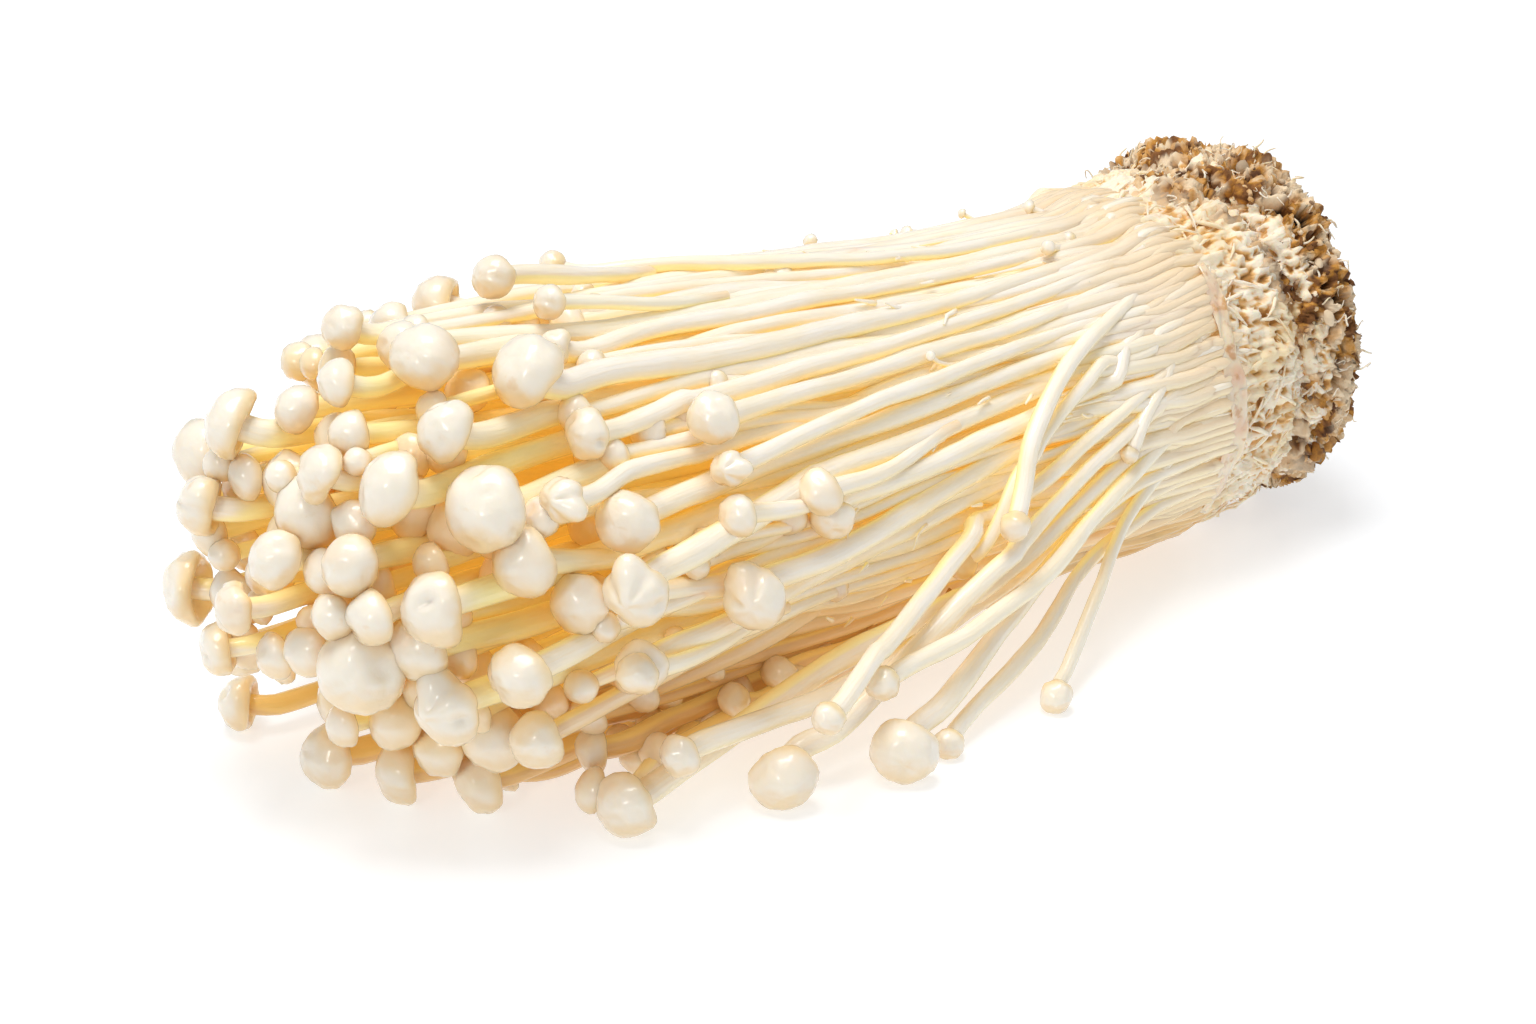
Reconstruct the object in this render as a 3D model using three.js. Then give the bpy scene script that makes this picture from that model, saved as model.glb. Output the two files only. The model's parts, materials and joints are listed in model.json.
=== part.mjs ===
// Enoki mushroom bunch, lying on its side as picked: a root block with its crust of substrate, a packed
// core of stems, and the mushrooms round it, each with a stem and a cap of its own.
// Millimetres. X runs along the bunch, with the caps towards -X and the root block towards +X. Z is up,
// and the bunch lies on z = 0. Reach is the distance from the neck, where the stems leave the root
// block, towards the caps.
import * as THREE from "three";

// Driving dimensions
const NECK_RADIUS = 20.5;
const FAN_LENGTH = 104; // neck to the cap end
const FAN_HALF_WIDTH = 30; // of the bunch at the cap end
const FAN_HALF_HEIGHT = 27;
const FAN_LEAN = 5; // the middle of the cap end lies this far towards +Y
const BLOCK_RADIUS = 22;
const BLOCK_LENGTH = 34;
const BLOCK_HEIGHT = 21.1; // of the block's middle line, which lets its lumps reach the floor
const BLOCK_LEAN = 4; // the middle of the block's end lies this far towards +Y
const CRUST_START = 19; // how far behind the neck the crust of substrate begins
const CRUST_THICKNESS = 4;
const FILM_START = 3;
const FILM_WIDTH = 4;
const FILM_THICKNESS = 0.5;
const STEM_FOOT_RADIUS = 0.9;
const GAP = 0.3; // between pieces that touch

// The packed core
const CORE_REACH = 78; // beyond it the inner stems stand free
const LAYERS_DEPTH = 6; // the loose stems that lie round the core
const CORE_SIDES = 20;

const INNER_SHARE = 0.68; // caps nearer the middle than this grow from the core's end
// Shares of the way from the middle of the neck to its edge, where long and short outer stems start
const LONG_REACH = 95;
const LONG_FOOT_SHARE = 0.82;
const SHORT_FOOT_SHARE = 0.96;
// A stem that hangs over the front starts nearer the top than its cap, up to this turn in degrees
const DRAPE_TO = 115;
const DRAPE = 0.72;

// The mushrooms of the far side: turns in degrees, and sizes that vary by golden steps
const GOLDEN = 0.618;
const BACK = {
  count: 8,
  firstTurn: -26,
  turnStep: -12,
  topReach: 76,
  floorReach: 97,
  reachSpread: 6,
  leastWidth: 4.4,
  widthSpread: 3,
  sunk: 0.33, // share of its width that a cap's middle lies inside the section's edge
};

// How the mushrooms settle side by side
const BEAD_SPACING = 1.3; // of the points along a stem that are kept apart
const SETTLING_ROUNDS = 160;
const PARTING_ROUNDS = 30; // the last of them
const HOMING = 0.01; // share of the way back to its first place that a bead goes in each round
const STRAIGHTENING = 0.3; // share of the way to the middle of its neighbours
const SQUARE_BEADS = 5; // of a stem, that stand square on what it grows from
const SQUARING = 0.4;
const SLIP = 0.4; // share of a push that may move a bead along the bunch
const CROSSING = 0.6; // beads closer than this share of their least distance are on stems that cross
const CAP_MOVES = 0.12; // how readily a cap gives way, against a stem's 1
const REST = 0.85; // cap radii from the floor to the middle of a cap that lies on it

// Mushroom meshes
const SIDES = 8;
const LONGEST_STEP = 12; // beads from one ring of a stem to the next
const CHORD_TOLERANCE = 0.16;
const CAP_SEAT = 0.3; // cap radii from the end of the stem to the middle of the cap
// The outside of a cap, in cap radii from its axis and above the end of the stem
const CAP_OUTLINE = [
  [0.88, -0.04], // the rolled-in margin
  [1, 0.42],
  [0.84, 0.92],
  [0.45, 1.22],
  [0, 1.3],
];

const MATERIALS = {
  cap_and_stem: new THREE.MeshStandardMaterial({ color: 0xf6ead0, roughness: 0.42, metalness: 0 }),
  packed_stems: new THREE.MeshStandardMaterial({ color: 0xf2dca8, roughness: 0.5, metalness: 0 }),
  mycelium: new THREE.MeshStandardMaterial({ color: 0xe9d8bd, roughness: 0.85, metalness: 0 }),
  substrate: new THREE.MeshStandardMaterial({ color: 0x94704a, roughness: 0.95, metalness: 0 }),
  film: new THREE.MeshStandardMaterial({ color: 0xe3cba4, roughness: 0.5, metalness: 0 }),
};

// Each mushroom: the middle of its cap as [reach, side, height], the cap's width, and for a stem that
// strays from the bunch the turn of its foot round the neck, in degrees from the top towards the front,
// and the points that it passes on its way to the cap. Side is +Y. A cap of height 0 lies on the floor.
const MUSHROOMS = {
  top: [
    { cap: [86, 13, 49], width: 6.8 },
    { cap: [69, 15, 47.6], width: 3.2, foot: 2, via: [[33, -3, 45.5], [53, 2, 48]] },
    { cap: [102, 8, 52], width: 5.4 },
    { cap: [99, 0, 49.3], width: 7.5 },
    { cap: [84, -5, 49], width: 4.2 },
    { cap: [92, -10, 45], width: 8.2 },
    { cap: [107, 2, 49], width: 5.2 },
    { cap: [103, -11, 46], width: 6.7 },
    { cap: [88, -16, 43], width: 5.5 },
    { cap: [74, -16, 41], width: 5.8 },
  ],
  end: [
    { cap: [114.5, 11, 43.4], width: 7.8 },
    { cap: [118, 12, 34.5], width: 7 },
    { cap: [113, -3, 42], width: 6.4 },
    { cap: [109, -10, 42], width: 8 },
    { cap: [115.5, 20, 21], width: 8.2 },
    { cap: [118, -1, 33], width: 6.2 },
    { cap: [114, -9, 34], width: 6.6 },
    { cap: [109, -17, 30.5], width: 8.4 },
    { cap: [120, 4, 26], width: 5.8 },
    { cap: [119, 9, 19], width: 6.2 },
    { cap: [114, -10, 22.2], width: 9.5 },
    { cap: [108, -17, 18.5], width: 7.8 },
    { cap: [108, 23, 0], width: 6.8 },
    { cap: [108, 6, 0], width: 7.3 },
    { cap: [104, -2, 0], width: 7.2 },
    { cap: [98, -9, 0], width: 7.4 },
  ],
  side: [
    { cap: [102, -17, 40], width: 9.4 },
    { cap: [95.5, -20, 40], width: 5.2 },
    { cap: [88, -21, 37], width: 7 },
    { cap: [90, -25, 32], width: 7.2 },
    { cap: [102, -22, 22.5], width: 7.4 },
    { cap: [98.5, -20, 12.8], width: 6.8 },
    { cap: [88, -24, 20], width: 6 },
    { cap: [74, -23, 22], width: 7.3 },
    { cap: [74.5, -21, 37], width: 4.2 },
    { cap: [61, -23, 30], width: 5 },
    { cap: [40, -24, 15], width: 3.7, foot: 57, via: [[14, -17, 32], [30, -20, 31], [39, -24, 24]] },
    { cap: [37, -24, 21], width: 3.7, foot: 44, via: [[15, -17, 37], [27, -20, 38], [35, -23, 33]] },
    { cap: [14, -22.5, 22], width: 2.4, foot: 62, via: [[6, -20, 33], [11, -22.5, 29]] },
  ],
  loose: [
    { cap: [90, -24, 0], width: 8, foot: 78, via: [[30, -27, 18], [46, -27, 13], [76, -21, 5]] },
    { cap: [85, -27, 9], width: 4.8, foot: 104, via: [[50, -24, 10], [70, -25, 8]] },
    { cap: [73, -30, 0], width: 7.6, foot: 68, via: [[30, -24, 20], [44, -27, 14], [67, -29, 5]] },
    { cap: [59, -34, 0], width: 7.8, foot: 92, via: [[18, -21, 18], [34, -26, 11], [50, -30, 5]] },
    { cap: [52, -33, 0], width: 3.7, foot: 112, via: [[20, -22, 11], [32, -28, 6], [42, -30, 3]] },
    { cap: [35, -33, 0], width: 4, foot: 86, via: [[5, -21, 22], [11, -23, 14], [17, -26, 8]] },
    { cap: [60, -30, 12], width: 4, foot: 82, via: [[14, -22, 22], [26, -28, 15], [50, -31, 11]] },
    { cap: [71, -35, 12], width: 3.7, foot: 56, via: [[26, -23, 25], [46, -26, 17], [65, -32, 12]] },
  ],
  // The far side, from the top down to the floor: steps round the bunch, long and short by turns
  back: Array.from({ length: BACK.count }, (_, i) => {
    const turn = THREE.MathUtils.degToRad(BACK.firstTurn + BACK.turnStep * i);
    const outermost = THREE.MathUtils.lerp(BACK.topReach, BACK.floorReach, Math.sqrt(i / (BACK.count - 1)));
    const reach = outermost - BACK.reachSpread * ((i * GOLDEN) % 1);
    const width = BACK.leastWidth + BACK.widthSpread * ((i * GOLDEN ** 2) % 1);
    const { y, z } = onSection(reach, turn, -width * BACK.sunk);
    return { cap: [reach, y, z], width };
  }),
};

// The bunch's cross-section at a reach: an ellipse that lies on the floor.
function section(reach) {
  const share = THREE.MathUtils.clamp(reach / FAN_LENGTH, 0, 1.1);
  const halfHeight = THREE.MathUtils.lerp(NECK_RADIUS, FAN_HALF_HEIGHT, share);
  return {
    y: FAN_LEAN * share,
    z: halfHeight,
    halfWidth: THREE.MathUtils.lerp(NECK_RADIUS, FAN_HALF_WIDTH, share),
    halfHeight,
  };
}

// A point that stands proud of the cross-section's edge, at a turn from the top towards the front (-Y).
function onSection(reach, turn, proud) {
  const s = section(reach);
  return {
    y: s.y - (s.halfWidth + proud) * Math.sin(turn),
    z: s.z + (s.halfHeight + proud) * Math.cos(turn),
  };
}

function point(reach, y, z) {
  return new THREE.Vector3(-reach, y, z);
}

// Where a point lies in its cross-section: its turn, and its share of the way from middle to edge.
function polar(reach, y, z) {
  const s = section(reach);
  const across = (s.y - y) / s.halfWidth;
  const up = (z - s.z) / s.halfHeight;
  return { turn: Math.atan2(across, up), share: Math.hypot(across, up) };
}

// Stems drape over the front: a cap's turn there comes from nearer the top of the neck.
function turnAtNeck(turn) {
  const low = THREE.MathUtils.degToRad(DRAPE_TO);
  if (turn < 0) return turn;
  if (turn < low) return turn * DRAPE;
  return THREE.MathUtils.mapLinear(turn, low, Math.PI, low * DRAPE, Math.PI);
}

// The route of a stem from its foot to the middle of its cap, before the mushrooms are kept apart.
function firstRoute({ cap, foot, via }) {
  const [reach, y, z] = cap;
  const end = polar(reach, y, z);
  const inner = end.share < INNER_SHARE;
  const footReach = inner ? CORE_REACH + GAP : GAP;
  const footTurn = via ? THREE.MathUtils.degToRad(foot) : inner ? end.turn : turnAtNeck(end.turn);
  const footShare = reach > LONG_REACH ? LONG_FOOT_SHARE : SHORT_FOOT_SHARE;
  const along = (r) => {
    const share = (r - footReach) / (reach - footReach);
    const turn = THREE.MathUtils.lerp(footTurn, end.turn, share);
    const s = section(r);
    const depth = inner
      ? THREE.MathUtils.lerp(0.7 * end.share, end.share, share)
      : THREE.MathUtils.lerp(footShare, end.share, share ** 2);
    const across = depth * s.halfWidth * Math.sin(turn);
    return point(r, s.y - across, s.z + depth * s.halfHeight * Math.cos(turn));
  };
  const knots = [along(footReach)];
  if (via) {
    knots.push(...via.map((p) => point(...p)));
  } else {
    const steps = inner ? 2 : 6;
    for (let i = 1; i < steps; i++) {
      knots.push(along(THREE.MathUtils.lerp(footReach, reach, i / steps)));
    }
  }
  knots.push(point(...cap));
  return new THREE.CatmullRomCurve3(knots, false, "centripetal");
}

// A stem is thicker under a wider cap, and thins towards its foot.
function stemRadius(width, share) {
  const top = THREE.MathUtils.clamp(0.75 + 0.09 * width, 0.95, 1.45);
  return THREE.MathUtils.lerp(STEM_FOOT_RADIUS, top, Math.min(1, share * 1.6));
}

// A mushroom as a row of beads: small ones down its stem, and one as wide as its cap.
function beadsOf(mushroom) {
  const curve = firstRoute(mushroom);
  const count = Math.max(6, Math.round(curve.getLength() / BEAD_SPACING));
  return curve.getSpacedPoints(count).map((p, i) => ({
    at: p,
    home: p.clone(),
    radius: i === count ? (mushroom.width / 2) * 1.04 : stemRadius(mushroom.width, i / count),
    lowest: i === count ? (mushroom.width / 2) * REST : stemRadius(mushroom.width, i / count),
    weight: i === count ? CAP_MOVES : 1,
    isFoot: i === 0,
  }));
}

// Pushes two beads apart until the gap between them is there. Stems run along X, so they part sideways.
// Where they cross, the second passes outside the first.
const between = new THREE.Vector3();
const outward = new THREE.Vector3();
function pushApart(a, b) {
  const least = a.radius + b.radius + 2 * GAP;
  const dx = b.at.x - a.at.x;
  if (dx > least || dx < -least) return;
  const dy = b.at.y - a.at.y;
  if (dy > least || dy < -least) return;
  const dz = b.at.z - a.at.z;
  const distance = Math.sqrt(dx * dx + dy * dy + dz * dz);
  if (distance >= least || distance === 0) return;
  between.set(dx * SLIP, dy, dz).divideScalar(distance);
  if (distance < CROSSING * least) {
    const s = section(-b.at.x);
    outward.set(0, (b.at.y - s.y) / s.halfWidth, (b.at.z - s.z) / s.halfHeight).normalize();
    between.add(outward);
  }
  between.multiplyScalar((least - distance) / (a.weight + b.weight));
  a.at.addScaledVector(between, -a.weight);
  b.at.addScaledVector(between, b.weight);
}

function keepOutOfCore(bead) {
  const reach = -bead.at.x;
  if (reach > CORE_REACH + bead.radius) return;
  const s = section(Math.max(0, reach));
  const inset = LAYERS_DEPTH - bead.radius - 2 * GAP;
  const across = (bead.at.y - s.y) / (s.halfWidth - inset);
  const up = (bead.at.z - s.z) / (s.halfHeight - inset);
  const share = Math.hypot(across, up);
  if (share >= 1) return;
  bead.at.y = s.y + (bead.at.y - s.y) / share;
  bead.at.z = s.z + (bead.at.z - s.z) / share;
}

// Straightens a stem: every bead moves towards the middle of its neighbours a few places away.
function straighten(beads, places) {
  for (let i = 1; i < beads.length - 1; i++) {
    const reach = Math.min(places, i, beads.length - 1 - i);
    between.addVectors(beads[i - reach].at, beads[i + reach].at).multiplyScalar(0.5);
    beads[i].at.lerp(between, STRAIGHTENING);
  }
}

// A stem leaves the root block square on.
function squareUp(beads) {
  for (const bead of beads.slice(1, SQUARE_BEADS)) {
    bead.at.y = THREE.MathUtils.lerp(bead.at.y, beads[0].at.y, SQUARING);
    bead.at.z = THREE.MathUtils.lerp(bead.at.z, beads[0].at.z, SQUARING);
  }
}

// Settles the mushrooms side by side, so that no two share any space. The last rounds only part them.
function settle(rows) {
  for (let round = 0; round < SETTLING_ROUNDS; round++) {
    rows.forEach((a, i) => {
      for (const b of rows.slice(i + 1)) {
        for (const p of a) for (const q of b) pushApart(p, q);
      }
    });
    for (const beads of rows) {
      if (round < SETTLING_ROUNDS - PARTING_ROUNDS) {
        straighten(beads, round % 2 ? 1 : 4);
        squareUp(beads);
        for (const bead of beads) bead.at.lerp(bead.home, HOMING);
      }
      hold(beads);
    }
  }
}

// Keeps a stem on what it grows from, and outside the packed core and above the floor.
function hold(beads) {
  const foot = beads[0];
  const growsFromNeck = foot.home.x > -1;
  foot.at.x = foot.home.x;
  if (growsFromNeck) keepOnNeck(foot);
  for (const bead of beads) {
    if (growsFromNeck) keepOutOfCore(bead);
    bead.at.z = Math.max(bead.at.z, bead.lowest);
  }
}

// A foot on the neck stays on the root block's face.
function keepOnNeck(bead) {
  const dy = bead.at.y;
  const dz = bead.at.z - NECK_RADIUS;
  const most = NECK_RADIUS - bead.radius;
  const out = Math.hypot(dy, dz);
  if (out > most) {
    bead.at.y = (dy * most) / out;
    bead.at.z = NECK_RADIUS + (dz * most) / out;
  }
}

// A route that is stepped knot by knot instead of by equal lengths.
class StemRoute extends THREE.CatmullRomCurve3 {
  getUtoTmapping(share) {
    return share;
  }
}

// How far the beads between two of them stray from the straight line.
const chord = new THREE.Line3();
const nearest = new THREE.Vector3();
function chordError(beads, from, to) {
  chord.set(beads[from].at, beads[to].at);
  let most = 0;
  for (const bead of beads.slice(from + 1, to)) {
    most = Math.max(most, chord.closestPointToPoint(bead.at, true, nearest).distanceTo(bead.at));
  }
  return most;
}

// The rings of a stem, as few as keep its sides close to its beads, and the last of them inside the cap.
function ringsOf(beads, capRadius) {
  const last = beads.length - 3;
  const kept = [0];
  while (kept.at(-1) < last) {
    const from = kept.at(-1);
    let to = from + 1;
    const limit = Math.min(last, from + LONGEST_STEP);
    while (to < limit && chordError(beads, from, to + 1) < CHORD_TOLERANCE) to++;
    kept.push(to);
  }
  const cap = beads.at(-1).at;
  const end = beads[last].at.clone().sub(cap).setLength(CAP_SEAT * capRadius).add(cap);
  return [...kept.map((i) => beads[i]), { at: end, radius: beads[last].radius }];
}

// A mushroom turned on a lathe, and then bent along its stem's route. The rings of the stem follow the
// route, and those of the cap stand square on its end.
function mushroomMesh(name, width, beads) {
  const capRadius = width / 2;
  const rings = ringsOf(beads, capRadius);
  const top = rings.length - 1;
  const stem = new StemRoute(rings.map((ring) => ring.at), false, "centripetal");
  const frames = stem.computeFrenetFrames(top, false);
  const profile = rings.map((ring, i) => new THREE.Vector2(ring.radius, i));
  profile.unshift(new THREE.Vector2(0, 0));
  const underside = profile.length;
  for (const [out, up] of CAP_OUTLINE) {
    profile.push(new THREE.Vector2(out * capRadius, top + up * capRadius));
  }
  const geometry = new THREE.LatheGeometry(profile, SIDES);
  const places = geometry.attributes.position;
  for (let i = 0; i < places.count; i++) {
    const along = i % profile.length;
    const ring = THREE.MathUtils.clamp(along - 1, 0, top);
    const centre = stem.getPointAt(ring / top);
    if (along >= underside) centre.addScaledVector(frames.tangents[top], places.getY(i) - top);
    centre.addScaledVector(frames.binormals[ring], places.getX(i));
    centre.addScaledVector(frames.normals[ring], places.getZ(i));
    places.setXYZ(i, Math.min(centre.x, beads[0].home.x), centre.y, Math.max(0, centre.z));
  }
  return named(name, geometry, MATERIALS.cap_and_stem);
}

function named(name, geometry, material) {
  geometry.computeVertexNormals();
  const mesh = new THREE.Mesh(geometry, material);
  mesh.name = name;
  return mesh;
}

// A shape turned about Y on a lathe, and then laid along +X, its vertices moved by place(x, radius, turn).
function laidLathe(profile, sides, place) {
  const outline = profile.map(([radius, x]) => new THREE.Vector2(radius, x));
  const geometry = new THREE.LatheGeometry(outline, sides);
  const places = geometry.attributes.position;
  for (let i = 0; i < places.count; i++) {
    const radius = Math.hypot(places.getX(i), places.getZ(i));
    const turn = Math.atan2(places.getX(i), places.getZ(i));
    const [x, y, z] = place(places.getY(i), radius, turn);
    places.setXYZ(i, x, y, Math.max(0, z));
  }
  return geometry;
}

// The inner stems where they are packed tight, from the neck to where they part.
function packedStems() {
  const profile = [
    [0, -CORE_REACH],
    [0.6, -CORE_REACH],
    [0.93, -CORE_REACH + 3],
    [1, -CORE_REACH + 9],
    [1, -CORE_REACH * 0.66],
    [1, -CORE_REACH * 0.33],
    [1, -GAP],
    [0, -GAP],
  ];
  return laidLathe(profile, CORE_SIDES, (x, share, turn) => {
    const s = section(-x);
    return [
      x,
      s.y - share * (s.halfWidth - LAYERS_DEPTH) * Math.sin(turn),
      s.z + share * (s.halfHeight - LAYERS_DEPTH) * Math.cos(turn),
    ];
  });
}

// The root block's uneven round: lumps that run round and along it.
function lump(x, turn) {
  const round = 0.028 * Math.sin(3 * turn + 0.9);
  const skew = 0.02 * Math.sin(5 * turn - x / 9);
  return 1 + round + skew + 0.012 * Math.sin(9 * turn + x / 4);
}

// The block's middle line bends sideways, away from the line of the stems.
function onBlock(x, radius, turn) {
  const r = radius * lump(x, turn);
  const middle = BLOCK_LEAN * (x / BLOCK_LENGTH) ** 2;
  return [x, middle - r * Math.sin(turn), BLOCK_HEIGHT + r * Math.cos(turn)];
}

// White mycelium, with the narrower end that the crust holds.
function rootBlock() {
  const inside = BLOCK_RADIUS - CRUST_THICKNESS;
  return laidLathe(
    [
      [0, 0],
      [NECK_RADIUS + 0.6, 0],
      [BLOCK_RADIUS - 0.3, 5],
      [BLOCK_RADIUS, 12],
      [BLOCK_RADIUS, CRUST_START - 3],
      [BLOCK_RADIUS - 0.5, CRUST_START - GAP],
      [inside, CRUST_START],
      [inside - 1, BLOCK_LENGTH - 10],
      [inside - 5, BLOCK_LENGTH - 6],
      [0, BLOCK_LENGTH - 5],
    ],
    28,
    onBlock,
  );
}

// The crust of substrate, a cup over the end of the block.
function substrateCrust() {
  const inside = BLOCK_RADIUS - CRUST_THICKNESS + GAP;
  return laidLathe(
    [
      [0, BLOCK_LENGTH - 5 + GAP],
      [inside - 5, BLOCK_LENGTH - 6 + GAP],
      [inside - 1 + GAP, BLOCK_LENGTH - 10 + GAP],
      [inside + GAP, CRUST_START + GAP],
      [BLOCK_RADIUS - 0.4, CRUST_START + GAP],
      [BLOCK_RADIUS + 0.6, CRUST_START + 4],
      [BLOCK_RADIUS + 0.3, CRUST_START + 8],
      [BLOCK_RADIUS - 1.4, BLOCK_LENGTH - 4],
      [BLOCK_RADIUS - 6, BLOCK_LENGTH - 1.5],
      [BLOCK_RADIUS - 13, BLOCK_LENGTH],
      [0, BLOCK_LENGTH + 0.6],
    ],
    28,
    onBlock,
  );
}

// A dried film of mycelium along the front of the neck, standing a little off the block.
function driedFilm() {
  const inside = BLOCK_RADIUS * 1.06 + GAP;
  const from = THREE.MathUtils.degToRad(50);
  const to = THREE.MathUtils.degToRad(-6);
  const strip = new THREE.Shape();
  strip.absarc(0, 0, inside + FILM_THICKNESS, from, to, true);
  strip.absarc(0, 0, inside, to, from, false);
  const options = { depth: FILM_WIDTH, bevelEnabled: false, curveSegments: 12 };
  const geometry = new THREE.ExtrudeGeometry(strip, options);
  geometry.rotateX(Math.PI / 2).rotateZ(-Math.PI / 2);
  geometry.translate(FILM_START + FILM_WIDTH, 0, BLOCK_HEIGHT);
  return geometry;
}

// The longest come first, and so lie innermost
const mushrooms = Object.entries(MUSHROOMS)
  .flatMap(([place, list]) =>
    list.map((m, i) => ({ ...m, name: `${place}_mushroom_${String(i + 1).padStart(2, "0")}` })),
  )
  .sort((a, b) => b.cap[0] - a.cap[0]);
const rows = mushrooms.map(beadsOf);
settle(rows);

const bunch = new THREE.Group();
bunch.add(
  named("root_block", rootBlock(), MATERIALS.mycelium),
  named("substrate_crust", substrateCrust(), MATERIALS.substrate),
  named("dried_film", driedFilm(), MATERIALS.film),
  named("packed_stems", packedStems(), MATERIALS.packed_stems),
  ...mushrooms.map((m, i) => mushroomMesh(m.name, m.width, rows[i])),
);

// The origin is on the floor under the middle of the bunch.
const middle = new THREE.Box3().setFromObject(bunch).getCenter(new THREE.Vector3());
bunch.position.set(-middle.x, -middle.y, 0);

export default bunch;
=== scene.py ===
"""The finished look of a bunch of enoki mushrooms that lies on its side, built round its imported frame.

Shapes are worked out in millimetres in the part's frame and turned to metres when a mesh is made.
"""

import json
import logging
import math
from dataclasses import dataclass, field, replace
from enum import Enum
from functools import partial

import bmesh
import bpy
import numpy as np
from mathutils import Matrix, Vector, noise

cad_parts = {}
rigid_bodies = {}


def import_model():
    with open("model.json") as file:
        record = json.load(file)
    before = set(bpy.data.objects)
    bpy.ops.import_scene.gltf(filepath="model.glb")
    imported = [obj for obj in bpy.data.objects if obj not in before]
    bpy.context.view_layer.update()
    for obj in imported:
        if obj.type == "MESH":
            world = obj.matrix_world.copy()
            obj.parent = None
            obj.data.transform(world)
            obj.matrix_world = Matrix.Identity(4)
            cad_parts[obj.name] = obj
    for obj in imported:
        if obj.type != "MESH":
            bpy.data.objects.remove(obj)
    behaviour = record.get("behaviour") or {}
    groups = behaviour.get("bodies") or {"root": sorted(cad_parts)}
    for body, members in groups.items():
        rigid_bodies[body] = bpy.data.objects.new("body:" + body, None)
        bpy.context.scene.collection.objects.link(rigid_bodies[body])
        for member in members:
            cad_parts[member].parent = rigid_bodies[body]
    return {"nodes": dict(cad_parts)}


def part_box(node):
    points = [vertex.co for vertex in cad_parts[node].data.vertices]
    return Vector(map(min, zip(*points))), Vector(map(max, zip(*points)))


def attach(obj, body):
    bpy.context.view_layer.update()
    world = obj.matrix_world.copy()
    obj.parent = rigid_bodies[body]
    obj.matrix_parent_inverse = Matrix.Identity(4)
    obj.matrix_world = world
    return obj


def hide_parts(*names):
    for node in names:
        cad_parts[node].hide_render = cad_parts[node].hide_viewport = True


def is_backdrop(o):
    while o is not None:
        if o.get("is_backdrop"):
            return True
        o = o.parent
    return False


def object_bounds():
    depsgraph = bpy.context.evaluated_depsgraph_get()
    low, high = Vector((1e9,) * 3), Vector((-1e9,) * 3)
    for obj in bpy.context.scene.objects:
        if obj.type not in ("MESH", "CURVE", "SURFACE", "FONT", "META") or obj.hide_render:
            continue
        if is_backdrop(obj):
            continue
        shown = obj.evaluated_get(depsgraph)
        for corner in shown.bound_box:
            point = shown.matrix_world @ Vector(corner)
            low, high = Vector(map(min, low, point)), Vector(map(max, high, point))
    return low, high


LOG = logging.getLogger("enoki")
MM = 0.001
BODY = "root"
NodeInputs = dict[str | int, object]

# The kinds of node that the trees use most.
MATH = "ShaderNodeMath"
VECTORS = "ShaderNodeVectorMath"
NOISE = "ShaderNodeTexNoise"
CHANCE = "FunctionNodeRandomValue"
READ = "GeometryNodeInputNamedAttribute"
STORE = "GeometryNodeStoreNamedAttribute"
MOVE = "GeometryNodeSetPosition"
SET_SKIN = "GeometryNodeSetMaterial"

OUTER_LAYERS = 6.0  # thickness in mm of the mushrooms round the bundle's packed core
GROUP_SIZE = 28  # inner mushrooms in one piece

# Small mushrooms on the near side: cap's reach from the neck in mm, angle round the bundle, cap radius in mm.
YOUNG = [(84, 1.52, 2.6), (82, 1.76, 2.1), (75, 2.83, 2.4), (63, 2.83, 2.6), (90, 3.35, 2.4)]


# ---------------------------------------------------------------- small helpers


def srgb(code: str) -> tuple[float, float, float, float]:
    """Turns a colour's sRGB hex code to linear light.

    Args:
        code: six hex digits, with or without a leading #.

    Returns:
        Linear red, green and blue, and an alpha of 1.
    """
    shares = [int(code.lstrip("#")[place : place + 2], 16) / 255 for place in (0, 2, 4)]
    linear = [share / 12.92 if share <= 0.04045 else ((share + 0.055) / 1.055) ** 2.4 for share in shares]
    return (*linear, 1.0)


def add_node(
    tree: bpy.types.NodeTree,
    kind: str,
    inputs: NodeInputs | None = None,
    output: str | int = 0,
    **settings: object,
) -> bpy.types.NodeSocket | None:
    """Adds a node to a tree, with its settings and its links.

    Args:
        tree: the node tree to add to.
        kind: the node's type name.
        inputs: for each input's name or number, the socket that feeds it or its fixed value.
        output: the name or number of the wanted output.
        settings: properties of the node, set before its inputs.

    Returns:
        The wanted output, from which the node can be reached, or nothing where the node has none.
    """
    node = tree.nodes.new(kind)
    for name, value in settings.items():
        setattr(node, name, value)
    for name, value in (inputs or {}).items():
        if isinstance(value, bpy.types.NodeSocket):
            tree.links.new(value, node.inputs[name])
        else:
            node.inputs[name].default_value = value
    return node.outputs[output] if node.outputs else None


def new_tree(name: str, sockets: dict[str, str]) -> bpy.types.NodeTree:
    """Starts a Geometry Nodes tree with named inputs.

    Args:
        name: the tree's name.
        sockets: each input's name and kind, besides the geometry.

    Returns:
        The tree, with a geometry input and output.
    """
    tree = bpy.data.node_groups.new(name, "GeometryNodeTree")
    for label, kind in {"Geometry": "Geometry", **sockets}.items():
        tree.interface.new_socket(label, in_out="INPUT", socket_type=f"NodeSocket{kind}")
    tree.interface.new_socket("Geometry", in_out="OUTPUT", socket_type="NodeSocketGeometry")
    return tree


def whole_turn(columns: int) -> np.ndarray:
    """Gives evenly spaced angles round a full turn."""
    return np.arange(columns) * 2 * math.pi / columns


def smoothstep(low: float, high: float, value: np.ndarray) -> np.ndarray:
    """Rises smoothly from 0 at low to 1 at high."""
    share = np.clip((value - low) / (high - low), 0, 1)
    return share * share * (3 - 2 * share)


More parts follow.
